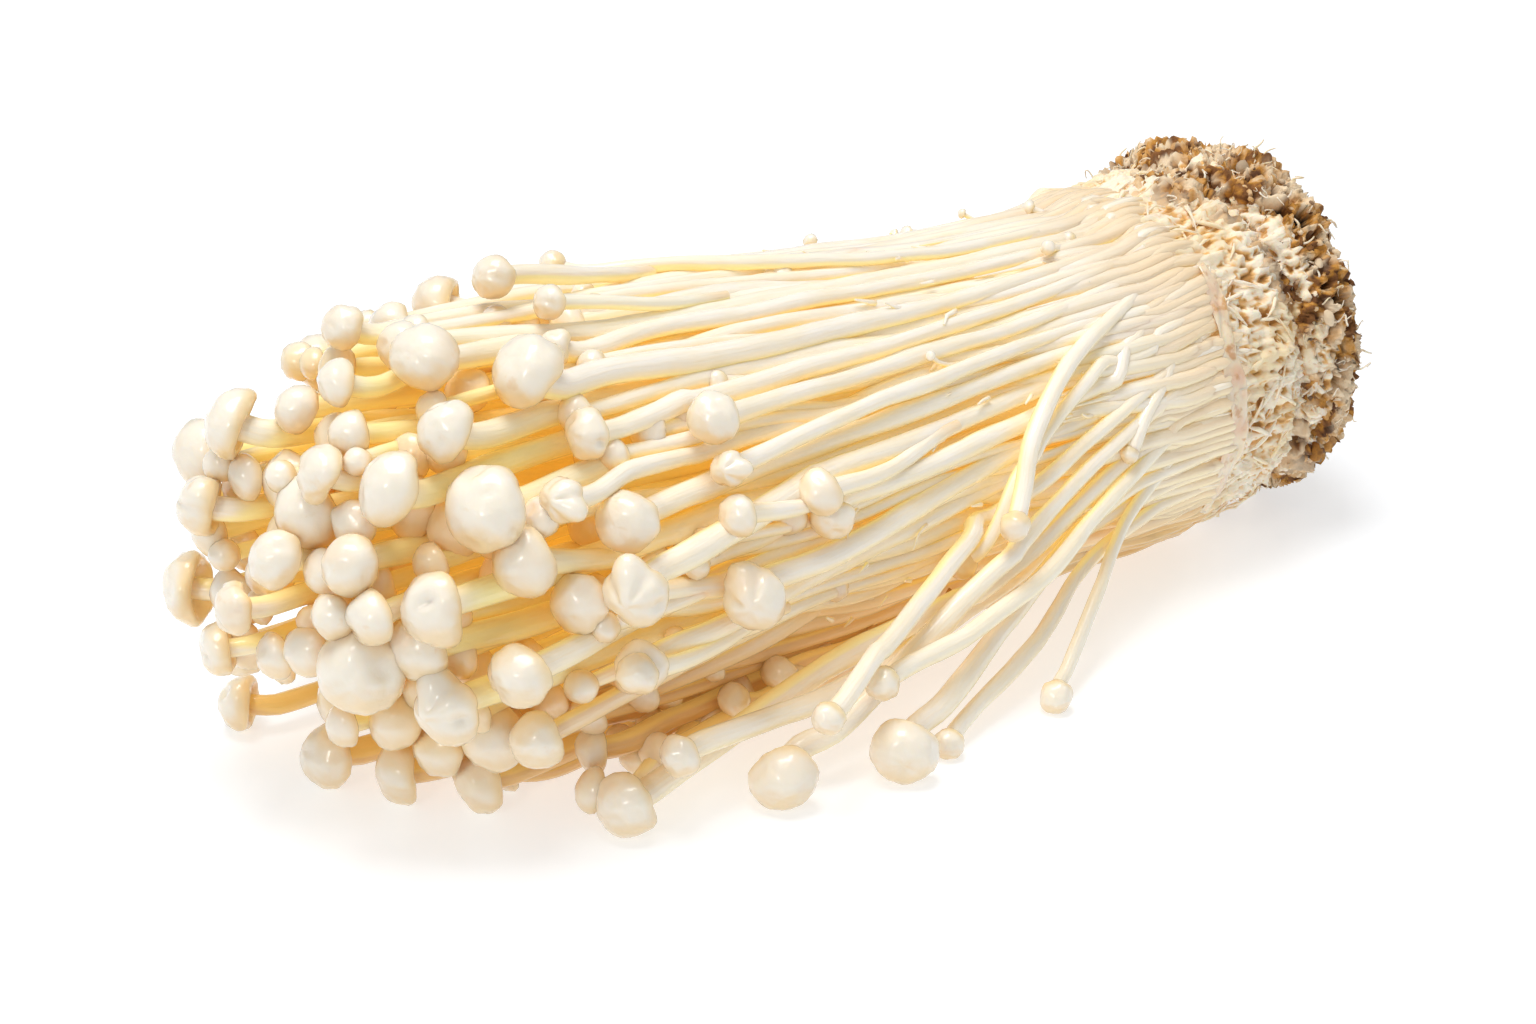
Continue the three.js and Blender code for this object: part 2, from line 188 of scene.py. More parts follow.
def unit(vector: np.ndarray) -> np.ndarray:
    """Scales a vector to a length of 1."""
    return vector / max(float(np.linalg.norm(vector)), 1e-9)


def mesh_object(
    name: str,
    vertices: np.ndarray,
    faces: list[tuple[int, ...]],
    edges: list[tuple[int, int]] | None = None,
    values: dict[str, np.ndarray] | None = None,
) -> bpy.types.Object:
    """Makes a mesh object, with its place in its mesh.

    Args:
        name: the object's name.
        vertices: points in millimetres.
        faces: corner numbers of each face.
        edges: loose edges, for a mesh that stands for paths.
        values: named numbers or vectors, one for each vertex.

    Returns:
        The object, linked to the scene.
    """
    mesh = bpy.data.meshes.new(name)
    mesh.from_pydata((np.asarray(vertices) * MM).tolist(), edges or [], faces)
    for label, data in (values or {}).items():
        kinds = {"i": ("INT", "value"), "f": ("FLOAT", "value")}
        kind, slot = ("FLOAT_VECTOR", "vector") if np.ndim(data) == 2 else kinds[np.asarray(data).dtype.kind]
        attribute = mesh.attributes.new(label, kind, "POINT")
        attribute.data.foreach_set(slot, np.ravel(data))
    mesh.shade_smooth()
    made = bpy.data.objects.new(name, mesh)
    bpy.context.scene.collection.objects.link(made)
    return made


def turned_faces(rows: int, columns: int) -> list[tuple[int, ...]]:
    """Joins rows of points round an axis, from one pole to the other.

    Args:
        rows: how many rows there are, with the two poles, which are single points.
        columns: points in each row between the poles.

    Returns:
        The faces, pointing outwards where the columns turn anticlockwise about the way from pole to pole.
    """
    last = 1 + (rows - 2) * columns
    faces: list[tuple[int, ...]] = []
    for column in range(columns):
        ahead = (column + 1) % columns
        faces.append((0, 1 + ahead, 1 + column))
        for row in range(rows - 3):
            low, high = 1 + row * columns, 1 + (row + 1) * columns
            faces.append((low + column, low + ahead, high + ahead, high + column))
        faces.append((last - columns + column, last - columns + ahead, last))
    return faces


def tube(path: np.ndarray, radii: np.ndarray, sides: int) -> tuple[np.ndarray, list[tuple[int, ...]]]:
    """Sweeps a closed tube along a path.

    Args:
        path: points along its middle.
        radii: its radius at each point.
        sides: how many sides it has.

    Returns:
        Its points and its faces.
    """
    ahead = np.gradient(path, axis=0)
    ahead /= np.linalg.norm(ahead, axis=1, keepdims=True)
    across = np.cross(ahead, (0.31, 0.52, 0.79))
    across /= np.linalg.norm(across, axis=1, keepdims=True)
    up = np.cross(ahead, across)
    turns = whole_turn(sides)
    ring = np.cos(turns)[None, :, None] * across[:, None] + np.sin(turns)[None, :, None] * up[:, None]
    rows = path[:, None] + radii[:, None, None] * ring
    ends = path[0] - ahead[0] * radii[0] * 0.5, path[-1] + ahead[-1] * radii[-1] * 0.5
    return np.vstack([ends[0], rows.reshape(-1, 3), ends[1]]), turned_faces(len(path) + 2, sides)


def ripple(points: np.ndarray, size: float) -> np.ndarray:
    """Gives smooth noise of about -0.7 to 0.7 at rows of points, with bumps of about a size in mm."""
    return np.array([noise.noise(Vector(row)) for row in points / size])


def ripples(points: np.ndarray, size: float) -> np.ndarray:
    """Gives a noise vector at rows of points, which bends the cells' walls."""
    return np.stack([ripple(points + shift, size) for shift in (3, 13, 23)], axis=-1)


def flattening(turn: np.ndarray) -> np.ndarray:
    """Gives in mm how much lower felt and crust are under the block's near side, so that it can rest."""
    return 1.3 * smoothstep(-0.55, -0.9, np.sin(turn)) * smoothstep(0.3, -0.5, np.cos(turn))


def cells(points: np.ndarray, size: float) -> tuple[np.ndarray, np.ndarray, np.ndarray]:
    """Splits space into cells round scattered middles.

    Args:
        points: rows of points, in mm.
        size: about how wide a cell is, in mm.

    Returns:
        The distance to the cell's middle, how much further the next middle is, and one value per cell.
    """
    near, gap, own = [], [], []
    for row in points / size:
        distances, middles = noise.voronoi(Vector(row))
        near.append(distances[0])
        gap.append(distances[1] - distances[0])
        own.append(noise.cell(middles[0] * 7.31))
    return np.array(near), np.array(gap), np.array(own)


def grow(
    name: str, source: bpy.types.Object, tree: bpy.types.NodeTree, values: dict[str, object],
) -> bpy.types.Object:
    """Runs a Geometry Nodes tree on a source object and keeps the result as a plain mesh.

    Args:
        name: the result's name.
        source: the object that the tree starts from, which is removed afterwards.
        tree: the Geometry Nodes tree.
        values: for each of the tree's named inputs, its value here.

    Returns:
        A new object with the evaluated mesh and no modifiers.
    """
    modifier = source.modifiers.new("grow", "NODES")
    modifier.node_group = tree
    sockets = {item.name: item.identifier for item in tree.interface.items_tree if item.in_out == "INPUT"}
    for label, value in values.items():
        modifier[sockets[label]] = value
    graph = bpy.context.evaluated_depsgraph_get()
    seen = source.evaluated_get(graph)
    mesh = bpy.data.meshes.new_from_object(seen, preserve_all_data_layers=True, depsgraph=graph)
    mesh.name = name
    made = bpy.data.objects.new(name, mesh)
    bpy.context.scene.collection.objects.link(made)
    old = source.data
    bpy.data.objects.remove(source)
    bpy.data.meshes.remove(old)
    return made


def keep(piece: bpy.types.Object, slot: str, *nodes: str) -> bpy.types.Object:
    """Rides a finished piece on the part's body, hides the CAD nodes that it replaces and logs its triangles.

    Args:
        piece: the finished mesh.
        slot: the material slot of the record that its finish belongs to; not used.
        nodes: the CAD nodes that it replaces.

    Returns:
        The same piece.
    """
    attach(piece, BODY)
    if nodes:
        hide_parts(*nodes)
    piece.data.calc_loop_triangles()
    LOG.info("%s: %d triangles", piece.name, len(piece.data.loop_triangles))
    return piece


# ---------------------------------------------------------------- reading the frame


@dataclass(frozen=True)
class Shell:
    """One CAD node as a welded net of points, in millimetres."""

    points: np.ndarray
    links: list[set[int]]

    @classmethod
    def of(cls, node: bpy.types.Object) -> "Shell":
        """Welds a node's loose triangles.

        Args:
            node: the CAD node's object.

        Returns:
            The welded net.
        """
        mesh = node.data
        places = np.empty(len(mesh.vertices) * 3, np.float32)
        mesh.vertices.foreach_get("co", places)
        corners = np.empty(len(mesh.loops), np.int32)
        mesh.loops.foreach_get("vertex_index", corners)
        places = places.reshape(-1, 3).astype(float) / MM
        rounded = np.round(places * 100).astype(int)
        _, first, same = np.unique(rounded, axis=0, return_index=True, return_inverse=True)
        links: list[set[int]] = [set() for _ in first]
        for a, b, c in np.ravel(same)[corners].reshape(-1, 3).tolist():
            links[a] |= {b, c}
            links[b] |= {a, c}
            links[c] |= {a, b}
        return cls(places[first], links)

    def pole(self, side: int) -> int:
        """Finds the turned shape's pole that lies furthest along x.

        Args:
            side: 1 for the pole with the largest x, -1 for the smallest.

        Returns:
            The pole's point number.
        """
        most = max(len(near) for near in self.links)
        poles = [number for number, near in enumerate(self.links) if len(near) == most]
        return max(poles, key=lambda number: side * self.points[number][0])

    def rings(self, start: int) -> list[np.ndarray]:
        """Groups the points by how many edges away from a pole they are.

        Args:
            start: the pole's point number.

        Returns:
            The rings from that pole to the other, each ordered round the x axis.
        """
        found = [[start]]
        seen = {start}
        while found[-1]:
            ahead = sorted({near for number in found[-1] for near in self.links[number]} - seen)
            seen.update(ahead)
            found.append(ahead)
        rings = []
        for numbers in found[:-1]:
            ring = self.points[numbers]
            middle = ring.mean(axis=0)
            order = np.argsort(np.arctan2(ring[:, 2] - middle[2], ring[:, 1] - middle[1]))
            rings.append(ring[order])
        return rings


@dataclass(frozen=True)
class Section:
    """The bundle's oval section, which grows from the neck to the caps. Reach is mm from the neck."""

    neck_x: float
    middle_y: tuple[float, float]
    half_width: tuple[float, float]
    half_height: tuple[float, float]
    end_reach: float = 119.0
    end_dome: float = 15.0

    @classmethod
    def of(cls, core: bpy.types.Object, neck_x: float, cover: float) -> "Section":
        """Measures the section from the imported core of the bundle.

        Args:
            core: the CAD node that fills the bundle under its outer layers.
            neck_x: x of the neck plane, in mm.
            cover: thickness of the outer layers round the core, in mm.

        Returns:
            The section, as values at the neck and their growth per mm of reach.
        """
        points = Shell.of(core).points
        near = points[points[:, 0] > points[:, 0].max() - 0.01]
        wide = points[np.argmax(points[:, 2])][0]
        far = points[np.abs(points[:, 0] - wide) < 0.01]
        span = near[0, 0] - far[0, 0]
        ends = []
        for ring in (near, far):
            low, high = ring.min(axis=0), ring.max(axis=0)
            half = (high - low) / 2 + cover
            ends.append(((high + low)[1] / 2, half[1], half[2]))
        growth = [(a, (b - a) / span) for a, b in zip(*ends)]
        return cls(neck_x, *growth)

    def sizes(self, reach: np.ndarray | float) -> tuple[np.ndarray, np.ndarray, np.ndarray]:
        """Gives the section at a reach.

        Args:
            reach: distance from the neck, in mm.

        Returns:
            The middle's y, the half width and the half height, which is the middle's z too.
        """
        ahead = np.maximum(reach, 0)
        measures = (self.middle_y, self.half_width, self.half_height)
        return tuple(start + growth * ahead for start, growth in measures)

    def point(self, reach: np.ndarray, share: np.ndarray, turn: np.ndarray) -> np.ndarray:
        """Places a point in the bundle.

        Args:
            reach: distance from the neck, in mm.
            share: 0 at the section's middle and 1 on its outline.
            turn: angle in the section, from +y towards +z, in radians.

        Returns:
            The point, or a row for each reach.
        """
        middle, width, height = self.sizes(reach)
        y = middle + share * width * np.cos(turn)
        z = height + share * height * np.sin(turn)
        return np.stack([self.neck_x - reach, y, z], axis=-1)

    def polar(self, points: np.ndarray) -> tuple[np.ndarray, np.ndarray, np.ndarray]:
        """Turns points to reach, share and turn, the other way round from point().

        Args:
            points: one point or rows of them, in mm.

        Returns:
            Reach, share and turn.
        """
        reach = self.neck_x - points[..., 0]
        middle, width, height = self.sizes(reach)
        across, up = (points[..., 1] - middle) / width, points[..., 2] / height - 1
        return reach, np.hypot(across, up), np.arctan2(up, across)

    def facing_in(self, points: np.ndarray, normals: np.ndarray) -> np.ndarray:
        """Measures how far each point's surface is turned away from the outside of the bundle.

        Args:
            points: rows of points, in mm.
            normals: the surface's direction at each.

        Returns:
            0 where it faces out of the bundle or forward, rising to 1 where it faces a neighbour.
        """
        reach, share, turn = self.polar(points)
        forward = smoothstep(self.end_reach - 22, self.end_reach - 4, reach)
        aside = 1 - 0.5 * forward
        out = np.stack([-forward, np.cos(turn) * aside, np.sin(turn) * aside], axis=-1)
        out /= np.linalg.norm(out, axis=1, keepdims=True)
        return smoothstep(0.9, -0.15, (out * normals).sum(axis=1)) * smoothstep(1.4, 1.12, share)

    def depth(self, points: np.ndarray) -> np.ndarray:
        """Measures how far inside the bundle points lie.

        Args:
            points: rows of points, in mm.

        Returns:
            The distance to the bundle's side or to its domed end, whichever is nearer, in mm.
        """
        reach, share, _ = self.polar(points)
        side = (1 - share) * self.sizes(reach)[1]
        return np.minimum(side, self.end_reach - self.end_dome * share**2 - reach)


@dataclass(frozen=True)
class BlockForm:
    """The root block's smooth outline under its felt and crust, from the neck's rim to the end's middle."""

    neck_x: float
    behind: np.ndarray
    radius: np.ndarray
    middle_y: np.ndarray
    middle_z: float
    along: np.ndarray
    facing: np.ndarray
    clearance: float = 0.08

    @classmethod
    def of(cls, block: bpy.types.Object, crust: bpy.types.Object, neck_x: float) -> "BlockForm":
        """Measures the outline from the block's side and the crust's outside.

        Args:
            block: the CAD node of the root block.
            crust: the CAD node of the crust.
            neck_x: x of the neck plane.

        Returns:
            The form, with the outline's corners rounded.
        """
        side = cls.outside(block, neck_x, -1)[1:]
        end = cls.outside(crust, neck_x, 1)[::-1]
        rows = np.array(side + end)
        steps = np.append(0, np.cumsum(np.hypot(*np.diff(rows[:, :2], axis=0).T)))
        along = np.linspace(0, steps[-1], 240)
        behind, radius, middle = (np.interp(along, steps, rows[:, column]) for column in range(3))
        for _ in range(60):
            for values in (behind, radius, middle):
                values[1:-1] = (values[:-2] + 2 * values[1:-1] + values[2:]) / 4
        ahead = np.stack([np.gradient(behind), np.gradient(radius)], axis=-1)
        ahead /= np.linalg.norm(ahead, axis=1, keepdims=True)
        facing = np.stack([-ahead[:, 1], ahead[:, 0]], axis=-1)
        return cls(neck_x, behind, radius, middle, float(rows[:4, 3].mean()), along, facing)

    @staticmethod
    def outside(node: bpy.types.Object, neck_x: float, side: int) -> list[tuple[float, ...]]:
        """Follows a turned node's outside from one pole until it turns back or in.

        Args:
            node: the CAD node.
            neck_x: x of the neck plane.
            side: which pole to start from, as for Shell.pole().

        Returns:
            For each ring, how far behind the neck it is, its radius, and its middle's y and z.
        """
        shell = Shell.of(node)
        run: list[tuple[float, ...]] = []
        for ring in shell.rings(shell.pole(side)):
            middle = ring.mean(axis=0)
            size = float(np.linalg.norm(ring - middle, axis=1).mean())
            row = (middle[0] - neck_x, size, middle[1], middle[2])
            if len(run) > 1 and (side * (row[0] - run[-1][0]) > 0 or (side < 0 and size < run[-1][1] - 0.1)):
                break
            run.append(row)
        return run

    def place(self, along: np.ndarray, turn: np.ndarray, lift: np.ndarray | float = 0.0) -> np.ndarray:
        """Places points on the block, which never goes under the floor.

        Args:
            along: length along the outline from the neck's rim.
            turn: angle round the block, from +y towards +z.
            lift: height over the outline.

        Returns:
            Rows of points.
        """
        measures = (self.behind, self.radius, self.middle_y)
        behind, radius, middle = (np.interp(along, self.along, one) for one in measures)
        facing = [np.interp(along, self.along, self.facing[:, column]) for column in (0, 1)]
        out = np.maximum(radius + lift * facing[1], 0)
        x = self.neck_x + behind + lift * facing[0]
        y = middle + out * np.cos(turn)
        z = np.maximum(self.middle_z + out * np.sin(turn), self.clearance)
        return np.stack(np.broadcast_arrays(x, y, z), axis=-1)


# ---------------------------------------------------------------- finishes


@dataclass(frozen=True)
class Pattern:
    """Cloudy unevenness of a surface, with features of about a size in mm."""

    size: float
    detail: float = 3.0
    roughness: float = 0.5
    distortion: float = 0.0
    stretch: tuple[float, float, float] = (1.0, 1.0, 1.0)
    follows: str = ""

    def add(self, tree: bpy.types.NodeTree) -> bpy.types.NodeSocket:
        """Adds the pattern to a material, over the mesh's own mm values if it follows some.

        Args:
            tree: the material's node tree.

        Returns:
            Its strength, mostly between 0.3 and 0.7.
        """
        if self.follows:
            place = add_node(tree, "ShaderNodeAttribute", output="Vector", attribute_name=self.follows)
        else:
            place = add_node(tree, "ShaderNodeTexCoord", output="Object")
        inputs = {
            "Vector": add_node(tree, VECTORS, {0: place, 1: self.stretch}, operation="MULTIPLY"),
            "Scale": 1 / (self.size if self.follows else self.size * MM),
            "Detail": self.detail,
            "Roughness": self.roughness,
            "Distortion": self.distortion,
        }
        return add_node(tree, NOISE, inputs, "Fac")


Readings = dict[Pattern | str, bpy.types.NodeSocket]


@dataclass(frozen=True)
class Coat:
    """A colour laid over those before it, where a pattern or one of the mesh's own values is strong."""

    colour: str
    where: Pattern | str
    span: tuple[float, float] | None = None
    most: float = 1.0
    way: str = "MIX"

    def lay(self, tree: bpy.types.NodeTree, under: object, read: Readings) -> bpy.types.NodeSocket:
        """Adds the coat to a material.

        Args:
            tree: the material's node tree.
            under: the colour beneath.
            read: the patterns and values that the material reads already.

        Returns:
            The colour with the coat on it.
        """
        strength = reading(tree, self.where, read)
        if self.span:
            low, high = self.span
            inputs = {"Value": strength, "From Min": low, "From Max": high, "To Max": self.most}
            strength = add_node(tree, "ShaderNodeMapRange", inputs, "Result", interpolation_type="SMOOTHSTEP")
        inputs = {0: strength, 6: under, 7: srgb(self.colour)}
        return add_node(tree, "ShaderNodeMix", inputs, 2, data_type="RGBA", blend_type=self.way)


def reading(tree: bpy.types.NodeTree, where: Pattern | str, read: Readings) -> bpy.types.NodeSocket:
    """Gives the strength of a pattern or of one of the mesh's own values, and adds it only once.

    Args:
        tree: the material's node tree.
        where: the pattern, or the value's name.
        read: what the material reads already, which this adds to.

    Returns:
        The strength's socket.
    """
    if where not in read and isinstance(where, Pattern):
        read[where] = where.add(tree)
    elif where not in read:
        read[where] = add_node(tree, "ShaderNodeAttribute", output="Fac", attribute_name=where)
    return read[where]


@dataclass(frozen=True)
class Finish:
    """A surface's gloss, its ground colour with the coats over it, and its fine relief."""

    name: str
    roughness: float
    ground: str = "FFFFFF"
    coats: tuple[Coat, ...] = ()
    relief: Pattern | None = None
    relief_strength: float = 0.5
    relief_depth: float = 0.3
    ior: float = 1.4
    bleed: float = 0.0
    bleed_depth: float = 1.0
    bleed_tint: tuple[float, float, float] = (1.0, 0.62, 0.34)
    coat: float = 0.0
    coat_roughness: float = 0.25
    sheen: float = 0.0
    glow: float = 0.0
    glow_colour: str = "FFFFFF"

    def base(self, tree: bpy.types.NodeTree, read: Readings) -> object:
        """Gives the colour under the coats."""
        return srgb(self.ground)

    def build(self) -> bpy.types.Material:
        """Builds the material, with its fixed values set on the shader itself.

        Returns:
            The material.
        """
        material = bpy.data.materials.new(self.name)
        material.use_nodes = True
        tree = material.node_tree
        shader = tree.nodes["Principled BSDF"]
        fixed = {
            "Roughness": self.roughness,
            "IOR": self.ior,
            "Subsurface Weight": self.bleed,
            "Subsurface Radius": self.bleed_tint,
            "Subsurface Scale": self.bleed_depth * MM,
            "Coat Weight": self.coat,
            "Coat Roughness": self.coat_roughness,
            "Sheen Weight": self.sheen,
            "Emission Color": srgb(self.glow_colour),
            "Emission Strength": self.glow,
        }
        for label, value in fixed.items():
            shader.inputs[label].default_value = value
        read: Readings = {}
        colour = self.base(tree, read)
        for coat in self.coats:
            colour = coat.lay(tree, colour, read)
        tree.links.new(colour, shader.inputs["Base Color"])
        if self.relief:
            inputs = {
                "Height": reading(tree, self.relief, read),
                "Strength": self.relief_strength,
                "Distance": self.relief_depth * MM,
            }
            tree.links.new(add_node(tree, "ShaderNodeBump", inputs, "Normal"), shader.inputs["Normal"])
        return material


STEM_FIBRES = Pattern(0.35, roughness=0.6, stretch=(1.0, 1.0, 0.07), follows="grain")
STEM_PATCHES = Pattern(1.0, 2.0, stretch=(0.3, 0.3, 0.12), follows="grain")


@dataclass(frozen=True)
class StemFlesh(Finish):
    """Fresh enoki stem: wet, fibrous and a little see-through, with painted golden shade and a painted glow
    where stems face each other.
    """

    name: str = "fresh stem flesh, grown"
    roughness: float = 0.38
    ior: float = 1.38
    bleed: float = 0.4
    bleed_depth: float = 0.35
    bleed_tint: tuple[float, float, float] = (1.0, 0.95, 0.8)
    coat: float = 0.7
    coat_roughness: float = 0.12
    ground: str = "FFF7EF"
    coats: tuple[Coat, ...] = (
        Coat("FFF3E2", STEM_PATCHES, (0.35, 0.65)),
        Coat("FBF7E6", "tone", (0.65, 1.0), 0.6),  # some stems are a little greener
        Coat("F0D7B2", "along", (0.25, 0.0), 0.8),  # browner towards the foot
        Coat("FFF3E2", STEM_FIBRES, (0.35, 0.7), 0.35, "MULTIPLY"),
        Coat("FFEEC4", "shaded", (0.0, 1.0), 0.85),
        # painted shade: golden where a stem faces its neighbours and deep inside the bundle
        Coat("FFEFAE", "gap", (0.55, 1.0), 0.8),
        Coat("FFEFAE", "depth"),
        Coat("E0AC50", "lower", (0.35, 0.95), 0.8),  # golden shade under the bundle
    )
    relief: Pattern | None = STEM_FIBRES
    relief_strength: float = 0.6
    relief_depth: float = 0.2
    # painted glow: a faint light over every stem, strongest where it faces a neighbour
    glow: float = 0.14
    painted_glow_base: str = "847748"
    painted_gap_glow: Coat = Coat("FFE780", "gap", (0.6, 1.0))

    def build(self) -> bpy.types.Material:
        """Builds the material, whose faint glow stands for light that comes through neighbouring stems.

        Returns:
            The material.
        """
        material = super().build()
        tree = material.node_tree
        light = self.painted_gap_glow.lay(tree, srgb(self.painted_glow_base), {})
        tree.links.new(light, tree.nodes["Principled BSDF"].inputs["Emission Color"])
        return material


@dataclass(frozen=True)
class CapSkin(Finish):
    """Young enoki cap: a smooth, slightly greasy white skin that light sinks into, with painted warm shade
    under the rim, where it faces down and where it lies deep in the bundle.
    """

    name: str = "young cap skin, grown"
    roughness: float = 0.34
    bleed: float = 0.45
    bleed_depth: float = 0.8
    bleed_tint: tuple[float, float, float] = (1.0, 0.88, 0.7)
    coat: float = 1.0
    coat_roughness: float = 0.2
    ground: str = "F5E1B8"
    coats: tuple[Coat, ...] = (
        Coat("F9F0E2", "crown", (0.05, 0.85)),  # painted shade: darker and warmer under the rim, paler on top
        Coat("EBCB9B", Pattern(7.692, 2.0), (0.52, 0.75), 0.3),
        Coat("EBCB9B", Pattern(2.381), (0.66, 0.8), 0.45),  # small bruises
        Coat("EACD98", "shaded", (0.1, 1.0), 0.8),
        # painted shade deep in the bundle and where the cap faces a neighbour
        Coat("FADFAB", "depth", (0.3, 1.0), 0.6),
        Coat("FADFAB", "gap", (0.2, 1.0), 0.35),
    )
    relief: Pattern | None = Pattern(2.0833, roughness=0.45)
    relief_strength: float = 0.55
    relief_depth: float = 0.35


FELT_FIBRES = Pattern(0.58824, 4.0, distortion=0.6, stretch=(0.22, 1.0, 1.0))


@dataclass(frozen=True)
class MyceliumFelt(Finish):
    """Mycelium felt: matte, fibrous and cream, with painted tan shade in the creases between the strands and
    in its pores.
    """

    name: str = "mycelium felt, grown"
    roughness: float = 0.72
    bleed: float = 0.25
    sheen: float = 0.1
    ground: str = "FFF3DE"
    coats: tuple[Coat, ...] = (
        Coat("F9E4BE", Pattern(6.25), (0.4, 0.65)),
        Coat("E2AE60", FELT_FIBRES, (0.5, 0.75), 0.4),
        # painted shade in the creases, the low lumps and the holes
        Coat("E2AE60", "crease", (0.3, 0.75), 0.9),
        Coat("A66E2A", "crease", (0.7, 1.0), 0.7),  # painted shade, darkest at the bottoms of the pores
    )
    relief: Pattern | None = FELT_FIBRES
    relief_strength: float = 0.7


CRUMB_GRAIN = Pattern(1.6129, 5.0, 0.65)


@dataclass(frozen=True)
class SpentSubstrate(Finish):
    """Spent growing substrate: crumbled cob and sawdust held by threads, with pale webs and painted
    near-black shade in its pits.
    """

    name: str = "spent substrate, crumbled"
    roughness: float = 0.88
    bleed: float = 0.05
    crumbs: tuple[tuple[float, str], ...] = (
        (0.28, "5A3820"), (0.42, "8A5C32"), (0.52, "C48A3A"), (0.62, "D9AC72"), (0.76, "F2DDBE"),
    )
    coats: tuple[Coat, ...] = (
        Coat("F2DDBE", "web"),  # mycelium over the crumbs
        # painted shade in the pits and between the grains
        Coat("1C0E05", "pit", (0.3, 0.95)),
    )
    relief: Pattern | None = CRUMB_GRAIN
    relief_strength: float = 0.9
    relief_depth: float = 0.4

    def base(self, tree: bpy.types.NodeTree, read: Readings) -> object:
        """Gives each crumb its own brown, from its tone and the grain in it.

        Args:
            tree: the material's node tree.
            read: what the material reads already.

        Returns:
            The brown's socket.
        """
        tone, grain = (reading(tree, where, read) for where in ("tone", CRUMB_GRAIN))
        both = add_node(tree, MATH, {0: tone, 1: grain}, operation="ADD")
        mean = add_node(tree, MATH, {0: both, 1: 0.5}, operation="MULTIPLY")
        browns = add_node(tree, "ShaderNodeValToRGB", {"Fac": mean}, "Color")
        elements = browns.node.color_ramp.elements
        while len(elements) < len(self.crumbs):
            elements.new(0.5)
        for element, (place, code) in zip(elements, self.crumbs):
            element.position = place
            element.color = srgb(code)
        return browns


FILM_STAIN = Pattern(1.42857)


@dataclass(frozen=True)
class DriedSkin(Finish):
    """Dried growth film: thin, glossy and see-through, with a pink and ochre stain of two sizes."""

    name: str = "growth film, dried"
    roughness: float = 0.28
    bleed: float = 0.5
    bleed_depth: float = 1.2
    coat: float = 1.0
    coat_roughness: float = 0.08
    ground: str = "F6DFC2"
    coats: tuple[Coat, ...] = (
        Coat("EDC3A6", Pattern(5.5556), (0.4, 0.62)),
        Coat("C88C48", FILM_STAIN, (0.5, 0.7), 0.8),
    )
    relief: Pattern | None = FILM_STAIN


@dataclass(frozen=True)
class StudioWhite(Finish):
    """Seamless white acrylic sheet: pale, with a faint blurred reflection."""

    name: str = "white acrylic sheet, cast"
    roughness: float = 0.32
    ior: float = 1.35
    ground: str = "C0C5CC"
    coats: tuple[Coat, ...] = (Coat("C6C9CE", Pattern(333.33, 1.0), (0.3, 0.7), 0.2),)
    glow: float = 0.57
    glow_colour: str = "FDFEFF"


# ---------------------------------------------------------------- caps


class CapKind(Enum):
    """Shapes that young caps take, with how many different ones of each are made."""

    ROUND = ("round", 6)
    DENTED = ("dented", 5)
    FOLDED = ("folded", 5)
    TWIN = ("twin", 2)
    BUTTON = ("button", 4)


